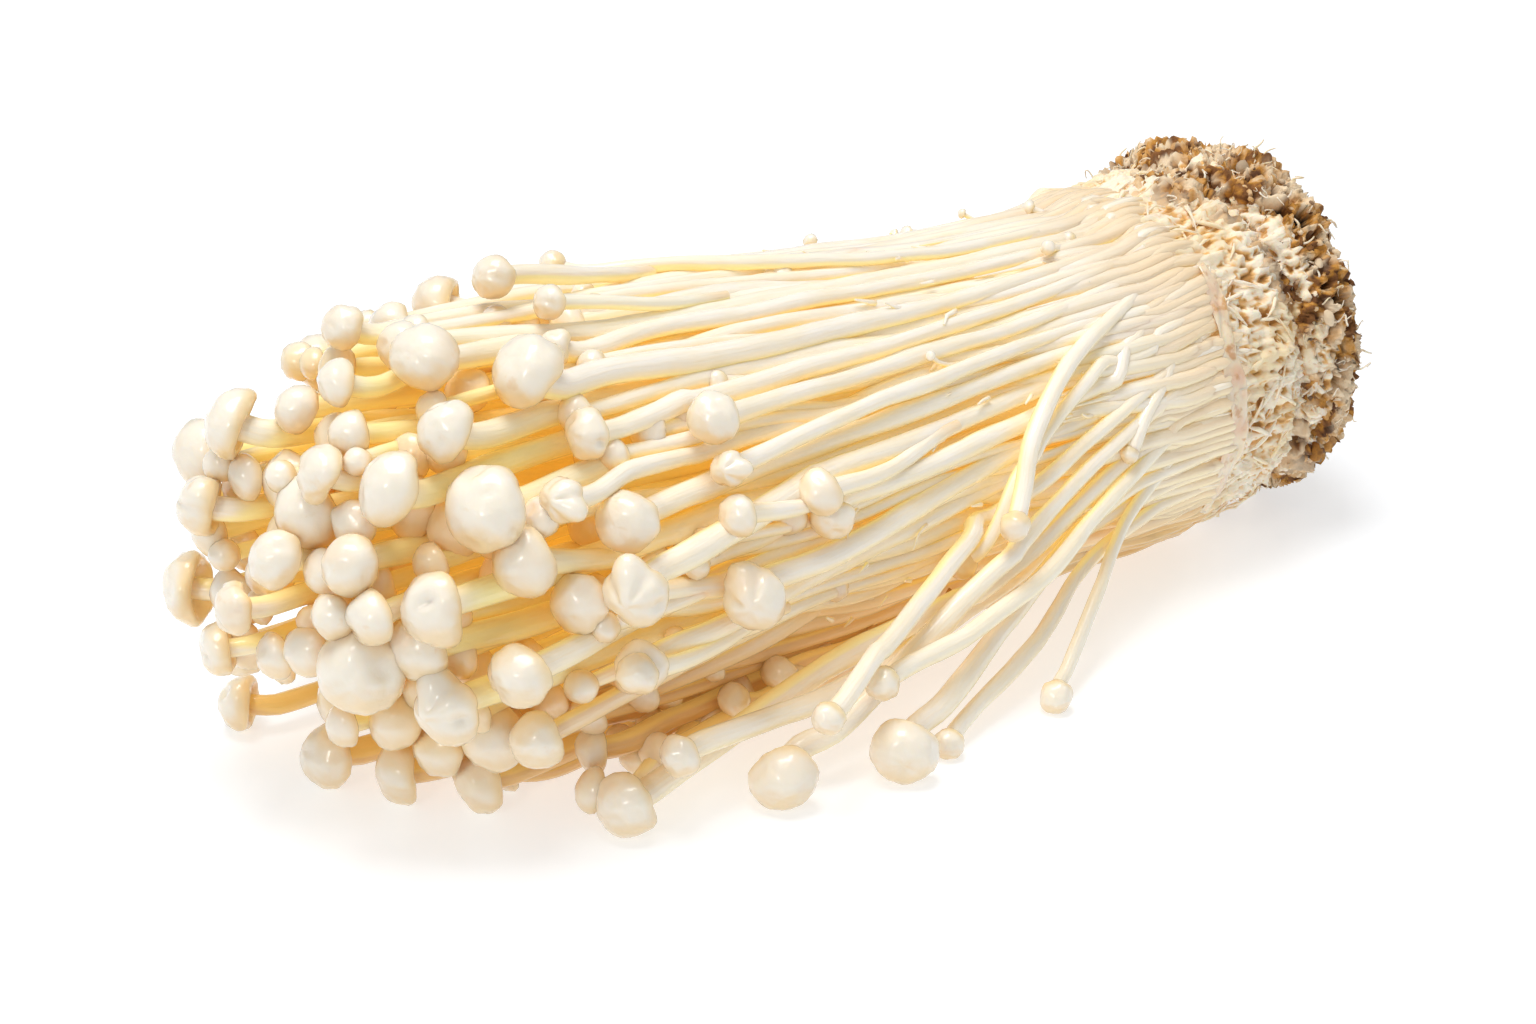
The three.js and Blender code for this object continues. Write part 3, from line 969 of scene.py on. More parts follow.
@dataclass
class CapMould:
    """One cap of radius 1 about its own middle, with its crown towards +z."""

    kind: CapKind
    seed: int
    columns: int = 30
    count: int = 16
    outline: tuple[tuple[float, float], ...] = (
        (0.0, 0.10), (0.32, 0.08), (0.50, -0.02), (0.60, -0.18), (0.69, -0.32), (0.80, -0.38), (0.91, -0.32),
        (0.99, -0.17), (1.01, 0.01), (0.98, 0.21), (0.91, 0.41), (0.79, 0.60), (0.62, 0.76), (0.43, 0.87),
        (0.22, 0.93), (0.0, 0.95),
    )
    lumps: float = 0.075
    dents: list[tuple[Vector, float, float]] = field(default_factory=list)
    creases: list[tuple[Vector, Vector, float]] = field(default_factory=list)

    def rows(self) -> np.ndarray:
        """Gives the cap's outline, closed up for a button, which is rounder.

        Returns:
            Radii and heights, from under the stem's place to the crown.
        """
        if self.kind is CapKind.BUTTON:
            around = np.linspace(-0.42 * math.pi, 0.5 * math.pi, self.count)
            rows = np.stack([np.cos(around), np.sin(around) * 0.98], axis=-1)
            rows[0] = (0, rows[1, 1])
        else:
            corners = np.array(self.outline)
            lengths = np.append(0, np.cumsum(np.hypot(*np.diff(corners, axis=0).T)))
            steps = np.linspace(0, lengths[-1], self.count)
            rows = np.stack([np.interp(steps, lengths, corners[:, column]) for column in (0, 1)], axis=-1)
            rows[1:-1] = (rows[:-2] + 4 * rows[1:-1] + rows[2:]) / 6
        rows[-1, 0] = 0.0
        return rows

    def press_dents(self, rng: np.random.Generator) -> None:
        """Chooses the hollows and creases that this kind of cap has.

        Args:
            rng: the mould's own source of chance.
        """
        counts = {
            CapKind.ROUND: (3, 0.045),
            CapKind.DENTED: (5, 0.09),
            CapKind.FOLDED: (5, 0.07),
            CapKind.TWIN: (4, 0.08),
        }
        count, depth = counts.get(self.kind, (3, 0.035))
        for _ in range(count):
            turn, rise = rng.uniform(0, 2 * math.pi), rng.uniform(0.0, 0.97)
            flat = math.sqrt(1 - rise * rise)
            spot = Vector((flat * math.cos(turn), flat * math.sin(turn), rise))
            self.dents.append((spot, depth * rng.uniform(0.5, 1.4), rng.uniform(0.14, 0.36)))
            if self.kind in (CapKind.DENTED, CapKind.FOLDED, CapKind.TWIN) and len(self.creases) < 2:
                across = spot.cross(Vector(rng.normal(0, 1, 3))).normalized()
                self.creases.append((spot, across, rng.uniform(0.035, 0.07)))

    def build(self, collection: bpy.types.Collection, number: int) -> None:
        """Makes the cap's mesh and puts it in the mould collection.

        Args:
            collection: where the moulds are kept.
            number: the mould's place in the list of shapes.
        """
        rng = np.random.default_rng(self.seed)
        self.press_dents(rng)
        rows = self.rows()
        turns = whole_turn(self.columns)
        offset = Vector(rng.uniform(-50, 50, 3))
        stretch = 1 + rng.uniform(-0.07, 0.07)
        flat = 1.0 if self.kind is CapKind.BUTTON else rng.uniform(0.8, 1.0)
        wave = rng.uniform(0, 2 * math.pi, 3)
        fold = rng.uniform(0, 2 * math.pi)
        vertices, crown = [], []
        for place, (radius, height) in enumerate(rows):
            rim = math.exp(-(((height + 0.3) / 0.25) ** 2)) * (radius > 0.4)
            for turn in turns if 0 < place < len(rows) - 1 else turns[:1]:
                out = Vector((math.cos(turn), math.sin(turn), 0))
                point = out * radius + Vector((0, 0, height))
                direction = (point + Vector((0, 0, 0.1))).normalized()
                swell = 0.0
                for share, fineness in ((1.0, 1.5), (0.6, 3.2), (0.25, 6.5)):
                    swell += self.lumps * share * noise.noise(direction * fineness + offset)
                for spot, depth, width in self.dents:
                    swell -= depth * math.exp(-(((direction - spot).length / width) ** 2))
                for spot, across, depth in self.creases:
                    near = math.exp(-(((direction - spot).length / 0.55) ** 2))
                    swell -= depth * near * math.exp(-(((direction - spot).dot(across) / 0.15) ** 2))
                triple = 0.035 * rim * math.cos(3 * turn + wave[0])
                swell += triple + 0.025 * rim * math.cos(5 * turn + wave[1])
                lift = 0.05 * rim * math.cos(2 * turn + wave[2])
                gap = (turn - fold + math.pi) % (2 * math.pi) - math.pi
                if self.kind is CapKind.FOLDED:
                    pinch = math.exp(-((gap / 0.5) ** 2)) * smoothstep(0.7, -0.1, height)
                    swell -= 0.15 * pinch
                    swell += 0.07 * math.exp(-(((abs(gap) - 0.85) / 0.35) ** 2)) * (height < 0.5)
                if self.kind is CapKind.TWIN:
                    swell += 0.30 * math.exp(-((gap / 0.5) ** 2)) * math.exp(-(((height - 0.1) / 0.4) ** 2))
                    swell -= 0.11 * math.exp(-(((abs(gap) - 0.75) / 0.24) ** 2)) * (radius > 0.3)
                side = min(radius * 1.4, 1.0)
                moved = point + direction * swell * (0.25 + 0.75 * side if height < 0 else 1)
                moved.z = (moved.z + lift) * flat
                moved.x *= stretch
                moved.y /= stretch
                vertices.append(moved)
                crown.append(float(smoothstep(-0.45, 0.5, height)))
        faces = turned_faces(len(rows), self.columns)
        values = {"crown": np.array(crown), "cap": np.ones(len(vertices))}
        mould = mesh_object(f"cap_mould_{number:02d}", np.array(vertices) / MM, faces, values=values)
        bpy.context.scene.collection.objects.unlink(mould)
        collection.objects.link(mould)


@dataclass
class CapMoulds:
    """The set of cap shapes that every mushroom's cap is picked from."""

    name: str
    columns: int
    count: int
    seed: int = 40
    collection: bpy.types.Collection | None = None
    kinds: list[CapKind] = field(default_factory=list)

    def build(self) -> None:
        """Makes every mould, in the order of the kinds."""
        self.collection = bpy.data.collections.new(self.name)
        for kind in CapKind:
            for _ in range(kind.value[1]):
                mould = CapMould(kind, self.seed + len(self.kinds), self.columns, self.count)
                mould.build(self.collection, len(self.kinds))
                self.kinds.append(kind)

    def pick(self, kind: CapKind, rng: np.random.Generator) -> int:
        """Picks a mould of a kind.

        Args:
            kind: the wanted kind.
            rng: the source of chance.

        Returns:
            The mould's number.
        """
        return int(rng.choice([number for number, made in enumerate(self.kinds) if made is kind]))

    def clear(self) -> None:
        """Removes the moulds once every cap is made."""
        for mould in list(self.collection.objects):
            bpy.data.objects.remove(mould)
        bpy.data.collections.remove(self.collection)


# ---------------------------------------------------------------- one mushroom


@dataclass
class Mushroom:
    """One stem with its cap, or a bare strand where the cap's radius is 0. All in mm."""

    name: str
    spine: np.ndarray
    widths: np.ndarray
    cap_radius: float = 0.0
    cap_axis: np.ndarray = field(default_factory=lambda: np.array([-1.0, 0, 0]))
    mould: int = 0
    spin: float = 0.0
    tone: float = 0.5

    @classmethod
    def of(cls, node: bpy.types.Object, cap_rings: int = 5) -> "Mushroom":
        """Reads a mushroom's path and sizes from its CAD node.

        Args:
            node: the CAD node.
            cap_rings: how many of its last rings belong to the cap.

        Returns:
            The mushroom, with a spine from its foot to its cap's middle.
        """
        shell = Shell.of(node)
        rings = shell.rings(shell.pole(1))
        middles = np.array([ring.mean(axis=0) for ring in rings])
        widths = np.array([np.linalg.norm(ring - ring.mean(axis=0), axis=1).mean() for ring in rings])
        radius = float(widths[-cap_rings + 1])
        axis = unit(middles[-1] - middles[-cap_rings])
        cap_middle = middles[-cap_rings + 1] - axis * radius * 0.12
        stem = slice(1, len(rings) - cap_rings)
        spine = np.vstack([middles[stem], cap_middle])
        stem_widths = np.append(widths[stem], widths[stem][-1])
        return cls(node.name, spine, stem_widths, radius, axis)

    def straighten(self, rounds: int) -> None:
        """Draws each point of the spine towards its neighbours.

        Args:
            rounds: how many times.
        """
        for _ in range(rounds):
            self.spine[1:-1] = (self.spine[:-2] + 2 * self.spine[1:-1] + self.spine[2:]) / 4

    def rest(self, reach: float = 14.0) -> None:
        """Lifts the spine where the stem or the cap would sink into the surface at z = 0.

        Args:
            reach: how far from the cap its own height lifts the stem.
        """
        back = np.linalg.norm(self.spine - self.spine[-1], axis=1)
        taller = np.maximum(0.92 * self.cap_radius - self.widths, 0) * smoothstep(reach, 0, back)
        self.spine[:, 2] = np.maximum(self.spine[:, 2], self.widths + taller)

    def enter_cap(self, length: float = 8.0) -> None:
        """Bends the end of the stem so that it runs into the cap along the cap's own axis.

        Args:
            length: how far from the cap's middle the bend begins.
        """
        axis, cap = unit(self.cap_axis), self.spine[-1]
        kept = np.linalg.norm(self.spine - cap, axis=1) > length
        halfway = cap + 0.65 * length * unit(unit(self.spine[kept][-1] - cap) - axis)
        self.spine = np.vstack([self.spine[kept], halfway, cap - 0.3 * length * axis, cap])
        self.widths = np.append(self.widths[kept], np.repeat(self.widths[-1], 3))


@dataclass
class StemGrower:
    """Sweeps stems along their spines and sets a cap on each, by one Geometry Nodes tree."""

    stem_skin: bpy.types.Material
    cap_skin: bpy.types.Material
    moulds: CapMoulds
    section: Section
    step: float = 1.3
    uneven: float = 0.36
    # depth in mm inside the bundle over which the painted shade of deep stems and caps rises
    painted_shade_depth: tuple[float, float] = (0.4, 6.5)
    bends_per_metre: float = 55.0
    knots_per_metre: float = 110.0
    flutes_per_mm: tuple[float, float, float] = (0.55, 0.55, 0.06)
    tree: bpy.types.NodeTree | None = None

    def build_tree(self) -> None:
        """Builds the tree: paths to curves, curves to stems, caps at their ends."""
        tree = new_tree("mushrooms_along_paths", {
            "Step": "Float", "Sides": "Int", "Wobble": "Float", "Groove": "Float", "Uneven": "Float",
            "Caps": "Collection", "Stem skin": "Material", "Cap skin": "Material",
        })
        add = partial(add_node, tree)
        given = add("NodeGroupInput").node.outputs
        place = add("GeometryNodeInputPosition")
        kinds = {
            **dict.fromkeys(("stem_radius", "reached", "cap_radius", "spin", "cap"), "FLOAT"),
            **dict.fromkeys(("offset", "ring", "grain", "cap_axis"), "FLOAT_VECTOR"),
            "mould": "INT",
        }
        read = {name: add(READ, {"Name": name}, "Attribute", data_type=kind) for name, kind in kinds.items()}

        # Paths: evenly spaced points that stray more towards the cap and fix each stem's own width.
        paths = add("GeometryNodeMeshToCurve", {"Mesh": given["Geometry"]})
        paths = add("GeometryNodeCurveSplineType", {"Curve": paths}, spline_type="CATMULL_ROM")
        paths = add("GeometryNodeResampleCurve", {"Curve": paths, "Length": given["Step"]}, mode="LENGTH")
        spline = add("GeometryNodeSplineParameter").node.outputs
        for name, output in (("along", "Factor"), ("reached", "Length")):
            inputs = {"Geometry": paths, "Name": name, "Value": spline[output]}
            paths = add(STORE, inputs, data_type="FLOAT", domain="POINT")
        shifted = add(VECTORS, {0: place, 1: read["offset"]}, operation="ADD")
        drift = add(NOISE, {"Vector": shifted, "Scale": self.bends_per_metre, "Detail": 2.0}, "Color")
        drift = add(VECTORS, {0: drift, 1: (0.5, 0.5, 0.5)}, operation="SUBTRACT")
        left = add(MATH, {0: 1.0, 1: spline["Factor"]}, operation="SUBTRACT")
        stray = spline["Factor"]
        for factor in (left, 6.0, spline["Factor"], given["Wobble"]):
            stray = add(MATH, {0: stray, 1: factor}, operation="MULTIPLY")
        drift = add(VECTORS, {0: drift, "Scale": stray}, operation="SCALE")
        paths = add(MOVE, {"Geometry": paths, "Offset": drift})

        knots_at = add(VECTORS, {0: read["offset"], "Scale": 7.0}, operation="SCALE")
        knots_at = add(VECTORS, {0: knots_at, 1: place}, operation="ADD")
        radius = add(NOISE, {"Vector": knots_at, "Scale": self.knots_per_metre, "Detail": 1.0}, "Fac")
        steps = (0.5, given["Uneven"], 1.0, read["stem_radius"])
        for operation, by in zip(("SUBTRACT", "MULTIPLY", "ADD", "MULTIPLY"), steps):
            radius = add(MATH, {0: radius, 1: by}, operation=operation)
        inputs = {"Geometry": paths, "Name": "stem_radius", "Value": radius}
        paths = add(STORE, inputs, data_type="FLOAT", domain="POINT")

        # Stems: a circle swept along each path. Grain holds mm round and along it, for flutes and fibres.
        circle = add("GeometryNodeCurvePrimitiveCircle", {"Resolution": given["Sides"], "Radius": 1.0})
        inputs = {"Geometry": circle, "Name": "ring", "Value": place}
        circle = add(STORE, inputs, data_type="FLOAT_VECTOR", domain="POINT")
        stems = add("GeometryNodeCurveToMesh", {
            "Curve": paths, "Profile Curve": circle, "Scale": read["stem_radius"], "Fill Caps": True,
        })
        wide = add(MATH, {0: read["stem_radius"], 1: 1 / MM}, operation="MULTIPLY")
        height = add(MATH, {0: read["reached"], 1: 1 / MM}, operation="MULTIPLY")
        grain = add(VECTORS, {0: read["ring"], "Scale": wide}, operation="SCALE")
        own = add(VECTORS, {0: read["offset"], "Scale": 1 / MM}, operation="SCALE")
        for more in (add("ShaderNodeCombineXYZ", {"Z": height}), own):
            grain = add(VECTORS, {0: grain, 1: more}, operation="ADD")
        inputs = {"Geometry": stems, "Name": "grain", "Value": grain}
        stems = add(STORE, inputs, data_type="FLOAT_VECTOR", domain="POINT")
        flutes_at = add(VECTORS, {0: read["grain"], 1: self.flutes_per_mm}, operation="MULTIPLY")
        swell = add(NOISE, {"Vector": flutes_at, "Scale": 1.0, "Detail": 2.0}, "Fac")
        for operation, by in (("SUBTRACT", 0.5), ("MULTIPLY", given["Groove"])):
            swell = add(MATH, {0: swell, 1: by}, operation=operation)
        bulge = add(VECTORS, {0: add("GeometryNodeInputNormal"), "Scale": swell}, operation="SCALE")
        stems = add(MOVE, {"Geometry": stems, "Offset": bulge})
        inputs = {"Geometry": stems, "Name": "cap", "Value": 0.0}
        stems = add(STORE, inputs, data_type="FLOAT", domain="POINT")

        # Caps: one mould at the far end of each path that has a cap, turned to the cap's axis.
        ends = add("GeometryNodeCurveEndpointSelection", {"Start Size": 0, "End Size": 1})
        capped = add(MATH, {0: read["cap_radius"], 1: 0.1 * MM}, operation="GREATER_THAN")
        facing = add("FunctionNodeAlignRotationToVector", {"Vector": read["cap_axis"]}, axis="Z")
        turned = add("FunctionNodeAxisAngleToRotation", {"Axis": (0.0, 0.0, 1.0), "Angle": read["spin"]})
        inputs = {"Rotation": facing, "Rotate By": turned}
        caps = add("GeometryNodeInstanceOnPoints", {
            "Points": paths,
            "Selection": add("FunctionNodeBooleanMath", {0: ends, 1: capped}, operation="AND"),
            "Instance": add("GeometryNodeCollectionInfo", {
                "Collection": given["Caps"], "Separate Children": True, "Reset Children": True,
            }),
            "Pick Instance": True,
            "Instance Index": read["mould"],
            "Rotation": add("FunctionNodeRotateRotation", inputs, rotation_space="LOCAL"),
            "Scale": read["cap_radius"],
        })
        joined = add("GeometryNodeJoinGeometry", {"Geometry": stems})
        tree.links.new(caps, joined.node.inputs[0])
        whole = add("GeometryNodeRealizeInstances", {"Geometry": joined})
        whole = add("GeometryNodeSetShadeSmooth", {"Geometry": whole})
        whole = add(SET_SKIN, {"Geometry": whole, "Material": given["Stem skin"]})
        is_cap = add(MATH, {0: read["cap"], 1: 0.5}, operation="GREATER_THAN")
        whole = add(SET_SKIN, {"Geometry": whole, "Selection": is_cap, "Material": given["Cap skin"]})
        add("NodeGroupOutput", {"Geometry": whole})
        self.tree = tree

    def grow(
        self, name: str, group: list[Mushroom], sides: int = 12, wobble: float = 0.3, groove: float = 0.45,
    ) -> bpy.types.Object:
        """Makes one piece from a group of mushrooms.

        Args:
            name: the piece's name.
            group: the mushrooms in it.
            sides: sides of each stem.
            wobble: how far a stem strays from its spine, in mm.
            groove: how deep its flutes are, in mm.

        Returns:
            The piece as a plain mesh.
        """
        points, edges, start = [], [], 0
        labels = ("stem_radius", "cap_radius", "mould", "spin", "tone", "offset", "cap_axis")
        columns: dict[str, list[np.ndarray]] = {label: [] for label in labels}
        for order, one in enumerate(group):
            count = len(one.spine)
            points.append(one.spine)
            edges += [(start + place, start + place + 1) for place in range(count - 1)]
            start += count
            columns["stem_radius"].append(one.widths * MM)
            columns["cap_radius"].append(np.full(count, one.cap_radius * MM))
            columns["mould"].append(np.full(count, one.mould))
            columns["spin"].append(np.full(count, one.spin))
            columns["tone"].append(np.full(count, one.tone))
            columns["offset"].append(np.tile([one.tone * 0.9, order * 0.037, one.spin * 0.11], (count, 1)))
            columns["cap_axis"].append(np.tile(unit(one.cap_axis), (count, 1)))
        values = {key: np.concatenate(parts) for key, parts in columns.items()}
        values["mould"] = values["mould"].astype(np.int32)
        source = mesh_object(f"{name}_paths", np.vstack(points), [], edges, values)
        piece = grow(name, source, self.tree, {
            "Step": self.step * MM, "Sides": sides, "Wobble": wobble * MM, "Groove": groove * MM,
            "Uneven": self.uneven,
            "Caps": self.moulds.collection, "Stem skin": self.stem_skin, "Cap skin": self.cap_skin,
        })
        self.shade(piece)
        return piece

    def shade(self, piece: bpy.types.Object) -> None:
        """Stores the masks for painted shade: how deep in the bundle and how low each point lies, where it
        faces a neighbour and where it faces down; and drops what no finish reads.

        Args:
            piece: the piece to mark.
        """
        mesh = piece.data
        places, normals = (np.empty(len(mesh.vertices) * 3, np.float32) for _ in range(2))
        mesh.vertices.foreach_get("co", places)
        mesh.vertices.foreach_get("normal", normals)
        places, normals = places.reshape(-1, 3) / MM, normals.reshape(-1, 3)
        _, share, turn = self.section.polar(places)
        depth = smoothstep(*self.painted_shade_depth, self.section.depth(places))
        at_side = smoothstep(0.5, 0.9, share)
        lower = smoothstep(0.1, -0.9, np.sin(turn)) * at_side * smoothstep(1.3, 1.1, share)
        gap = self.section.facing_in(places, normals)
        shaded = smoothstep(0.45, -0.75, normals[:, 2])
        for label, data in (("depth", depth), ("lower", lower), ("gap", gap), ("shaded", shaded)):
            attribute = mesh.attributes.new(label, "FLOAT", "POINT")
            attribute.data.foreach_set("value", data.astype(np.float32))
        widths = ("stem_radius", "cap_radius", "reached")
        for label in (*widths, "mould", "spin", "offset", "cap_axis", "ring", "cap"):
            found = mesh.attributes.get(label)
            if found:
                mesh.attributes.remove(found)


# ---------------------------------------------------------------- packing the bundle


@dataclass
class Packing:
    """Moves the inner stems, slice by slice, until none crosses another."""

    section: Section
    step: float = 2.5
    furthest: float = 122.0
    rounds: int = 90
    last_rounds: int = 8
    recount: int = 6
    margin: float = 1.5
    longest_move: float = 0.5
    eagerness: float = 0.7
    floor_gap: float = 0.1
    outer_share: float = 0.985
    slices: np.ndarray = field(init=False)

    def __post_init__(self) -> None:
        """Sets the reach of each slice."""
        self.slices = np.arange(0, self.furthest, self.step)

    def row(self, one: Mushroom) -> tuple[np.ndarray, np.ndarray]:
        """Cuts a mushroom by every slice.

        Args:
            one: the mushroom.

        Returns:
            Its y and z at each slice, and its radius there, 0 where the slice misses it.
        """
        reach = self.section.neck_x - one.spine[:, 0]
        order = np.argsort(reach)
        reach = reach[order]
        places = np.stack([np.interp(self.slices, reach, one.spine[order, axis]) for axis in (1, 2)], axis=-1)
        stem = np.interp(self.slices, reach, one.widths[order])
        inside = (self.slices >= reach[0] - self.step / 2) & (self.slices <= reach[-1])
        from_cap = self.slices - (self.section.neck_x - one.spine[-1, 0])
        cap = np.sqrt(np.maximum(one.cap_radius**2 - from_cap**2, 0))
        return places, np.maximum(np.where(inside, stem, 0), cap)

    def neighbours(self, places: np.ndarray, radii: np.ndarray) -> tuple[np.ndarray, np.ndarray, np.ndarray]:
        """Lists the pairs of stems that lie close enough to touch soon.

        Args:
            places: y and z of each stem in each slice.
            radii: each stem's radius in each slice, 0 where it is absent.

        Returns:
            The slice, the first stem and the second stem of each pair.
        """
        found = []
        for level, (spots, sizes) in enumerate(zip(places, radii)):
            here = np.flatnonzero(sizes > 0)
            apart = spots[here, None] - spots[None, here]
            wanted = sizes[here, None] + sizes[None, here] + self.margin
            near = np.hypot(apart[..., 0], apart[..., 1]) < wanted
            first, second = np.nonzero(np.triu(near, 1))
            found.append((np.full(len(first), level), here[first], here[second]))
        return tuple(np.concatenate(part) for part in zip(*found))

    def settle(self, fixed: list[Mushroom], free: list[Mushroom]) -> None:
        """Packs the free mushrooms round the fixed ones and each other.

        Args:
            fixed: mushrooms that stay where they are.
            free: mushrooms that move, and whose spines are replaced.
        """
        rows = [self.row(one) for one in fixed + free]
        places = np.stack([row[0] for row in rows], axis=1)
        radii = np.stack([row[1] for row in rows], axis=1)
        moving = np.arange(len(rows)) >= len(fixed)
        middle, width, height = (size[:, None] for size in self.section.sizes(self.slices))
        for turn in range(self.rounds):
            if turn % self.recount == 0:
                level, first, second = self.neighbours(places, radii)
                touch = radii[level, first] + radii[level, second]
            apart = places[level, first] - places[level, second]
            distance = np.sqrt((apart**2).sum(axis=-1)) + 1e-6
            push = apart / distance[:, None] * np.maximum(touch - distance, 0)[:, None]
            moved = np.zeros_like(places)
            np.add.at(moved, (level, first), push * np.where(moving[second], 0.5, 1.0)[:, None])
            np.add.at(moved, (level, second), -push * np.where(moving[first], 0.5, 1.0)[:, None])
            moved = np.clip(moved, -self.longest_move, self.longest_move) * self.eagerness
            places[:, moving] += moved[:, moving]
            smooth = places.copy()
            smooth[1:-1] = (places[:-2] + 2 * places[1:-1] + places[2:]) / 4
            smoothing = 0.6 if turn < self.rounds - self.last_rounds else 0.25
            places[:, moving] += (smooth - places)[:, moving] * smoothing
            across = (places[..., 0] - middle) / (width - radii)
            up = (places[..., 1] - height) / (height - radii)
            beyond = np.maximum(np.hypot(across, up) / self.outer_share, 1)
            places[..., 0] = np.where(moving, middle + (places[..., 0] - middle) / beyond, places[..., 0])
            places[..., 1] = np.where(moving, height + (places[..., 1] - height) / beyond, places[..., 1])
            lifted = np.maximum(places[..., 1], radii + self.floor_gap)
            places[..., 1] = np.where(moving, lifted, places[..., 1])
        for number, one in enumerate(free, start=len(fixed)):
            reach = self.section.neck_x - one.spine[:, 0]
            for axis in (0, 1):
                one.spine[:, axis + 1] = np.interp(reach, self.slices, places[:, number, axis])


@dataclass
class InnerStems:
    """The stems and caps that fill the bundle behind its outer mushrooms."""

    section: Section
    moulds: CapMoulds
    rng: np.random.Generator
    layers: tuple[tuple[int, float, float, float], ...] = (
        (104, 0.95, 52, 108),
        (56, 0.82, 66, 112),
        (30, 0.62, 92, 114),
        (34, 0.40, 100, 117),
        (12, 0.16, 104, 118),
    )
    foot_radius: float = 1.0
    mid_radius: float = 1.24
    cap_radius: float = 2.3
    button_radius: float = 1.9
    deep_start: float = 42.0
    made: list[Mushroom] = field(default_factory=list)

    def build(self) -> None:
        """Places every inner mushroom on a loose spiral through each layer."""
        for count, share, nearest, furthest in self.layers:
            for place in range(count):
                turn = place * 2 * math.pi / count + self.rng.normal(0, 0.06)
                end = nearest + (furthest - nearest) * self.rng.beta(2.0, 1.3)
                slack = 0.12 if share < 0.5 else 0.02
                own = share + self.rng.uniform(-slack, slack)
                self.made.append(self.one(len(self.made), own, turn, end - 9 * own * own * (share > 0.6)))

    def one(self, number: int, share: float, turn: float, end: float) -> Mushroom:
        """Makes one inner mushroom before packing.

        Args:
            number: its place in the list.
            share: how far out in the section it lies.
            turn: its angle in the section.
            end: the reach of its cap's middle.

        Returns:
            The mushroom.
        """
        rng = self.rng
        start = 0.0 if share > 0.7 else self.deep_start
        reach = np.append(np.arange(start, end - 2, 3.0), end)
        twist = rng.normal(0, 0.09) * (reach / 100)
        wander = rng.uniform(0.4, 1.1) * np.sin(2 * math.pi * (reach / rng.uniform(45, 90) + rng.uniform()))
        spine = self.section.point(reach, np.full(len(reach), share), turn + twist)
        spine[:, 1] += wander * math.sin(turn)
        spine[:, 2] += wander * math.cos(turn)
        size = rng.lognormal(math.log(self.cap_radius), 0.28)
        cap = float(np.clip(size, 1.4, 3.6)) * (1.12 if end > 98 else 0.95)
        tip = float(np.clip(cap * 0.42, 0.85, 1.5))
        mid = self.mid_radius * rng.choice([0.5, 0.62, 0.75, 0.9, 1.05, 1.15]) * rng.uniform(0.92, 1.08)
        widths = np.interp(reach, [0, 30, end - 25, end], [self.foot_radius, mid * 0.92, mid, tip])
        kinds = [CapKind.ROUND, CapKind.ROUND, CapKind.DENTED, CapKind.FOLDED]
        kind = CapKind.BUTTON if cap < self.button_radius else rng.choice(kinds)
        outward = np.array([0, math.cos(turn), math.sin(turn)]) * share
        axis = np.array([-1.0, 0, 0]) + outward * rng.uniform(0.1, 0.5) + rng.normal(0, 0.16, 3)
        return Mushroom(
            f"inner_{number:03d}", spine, widths, cap, axis, self.moulds.pick(kind, rng),
            rng.uniform(0, 2 * math.pi), rng.uniform(0, 1),
        )


# ---------------------------------------------------------------- root block and crust


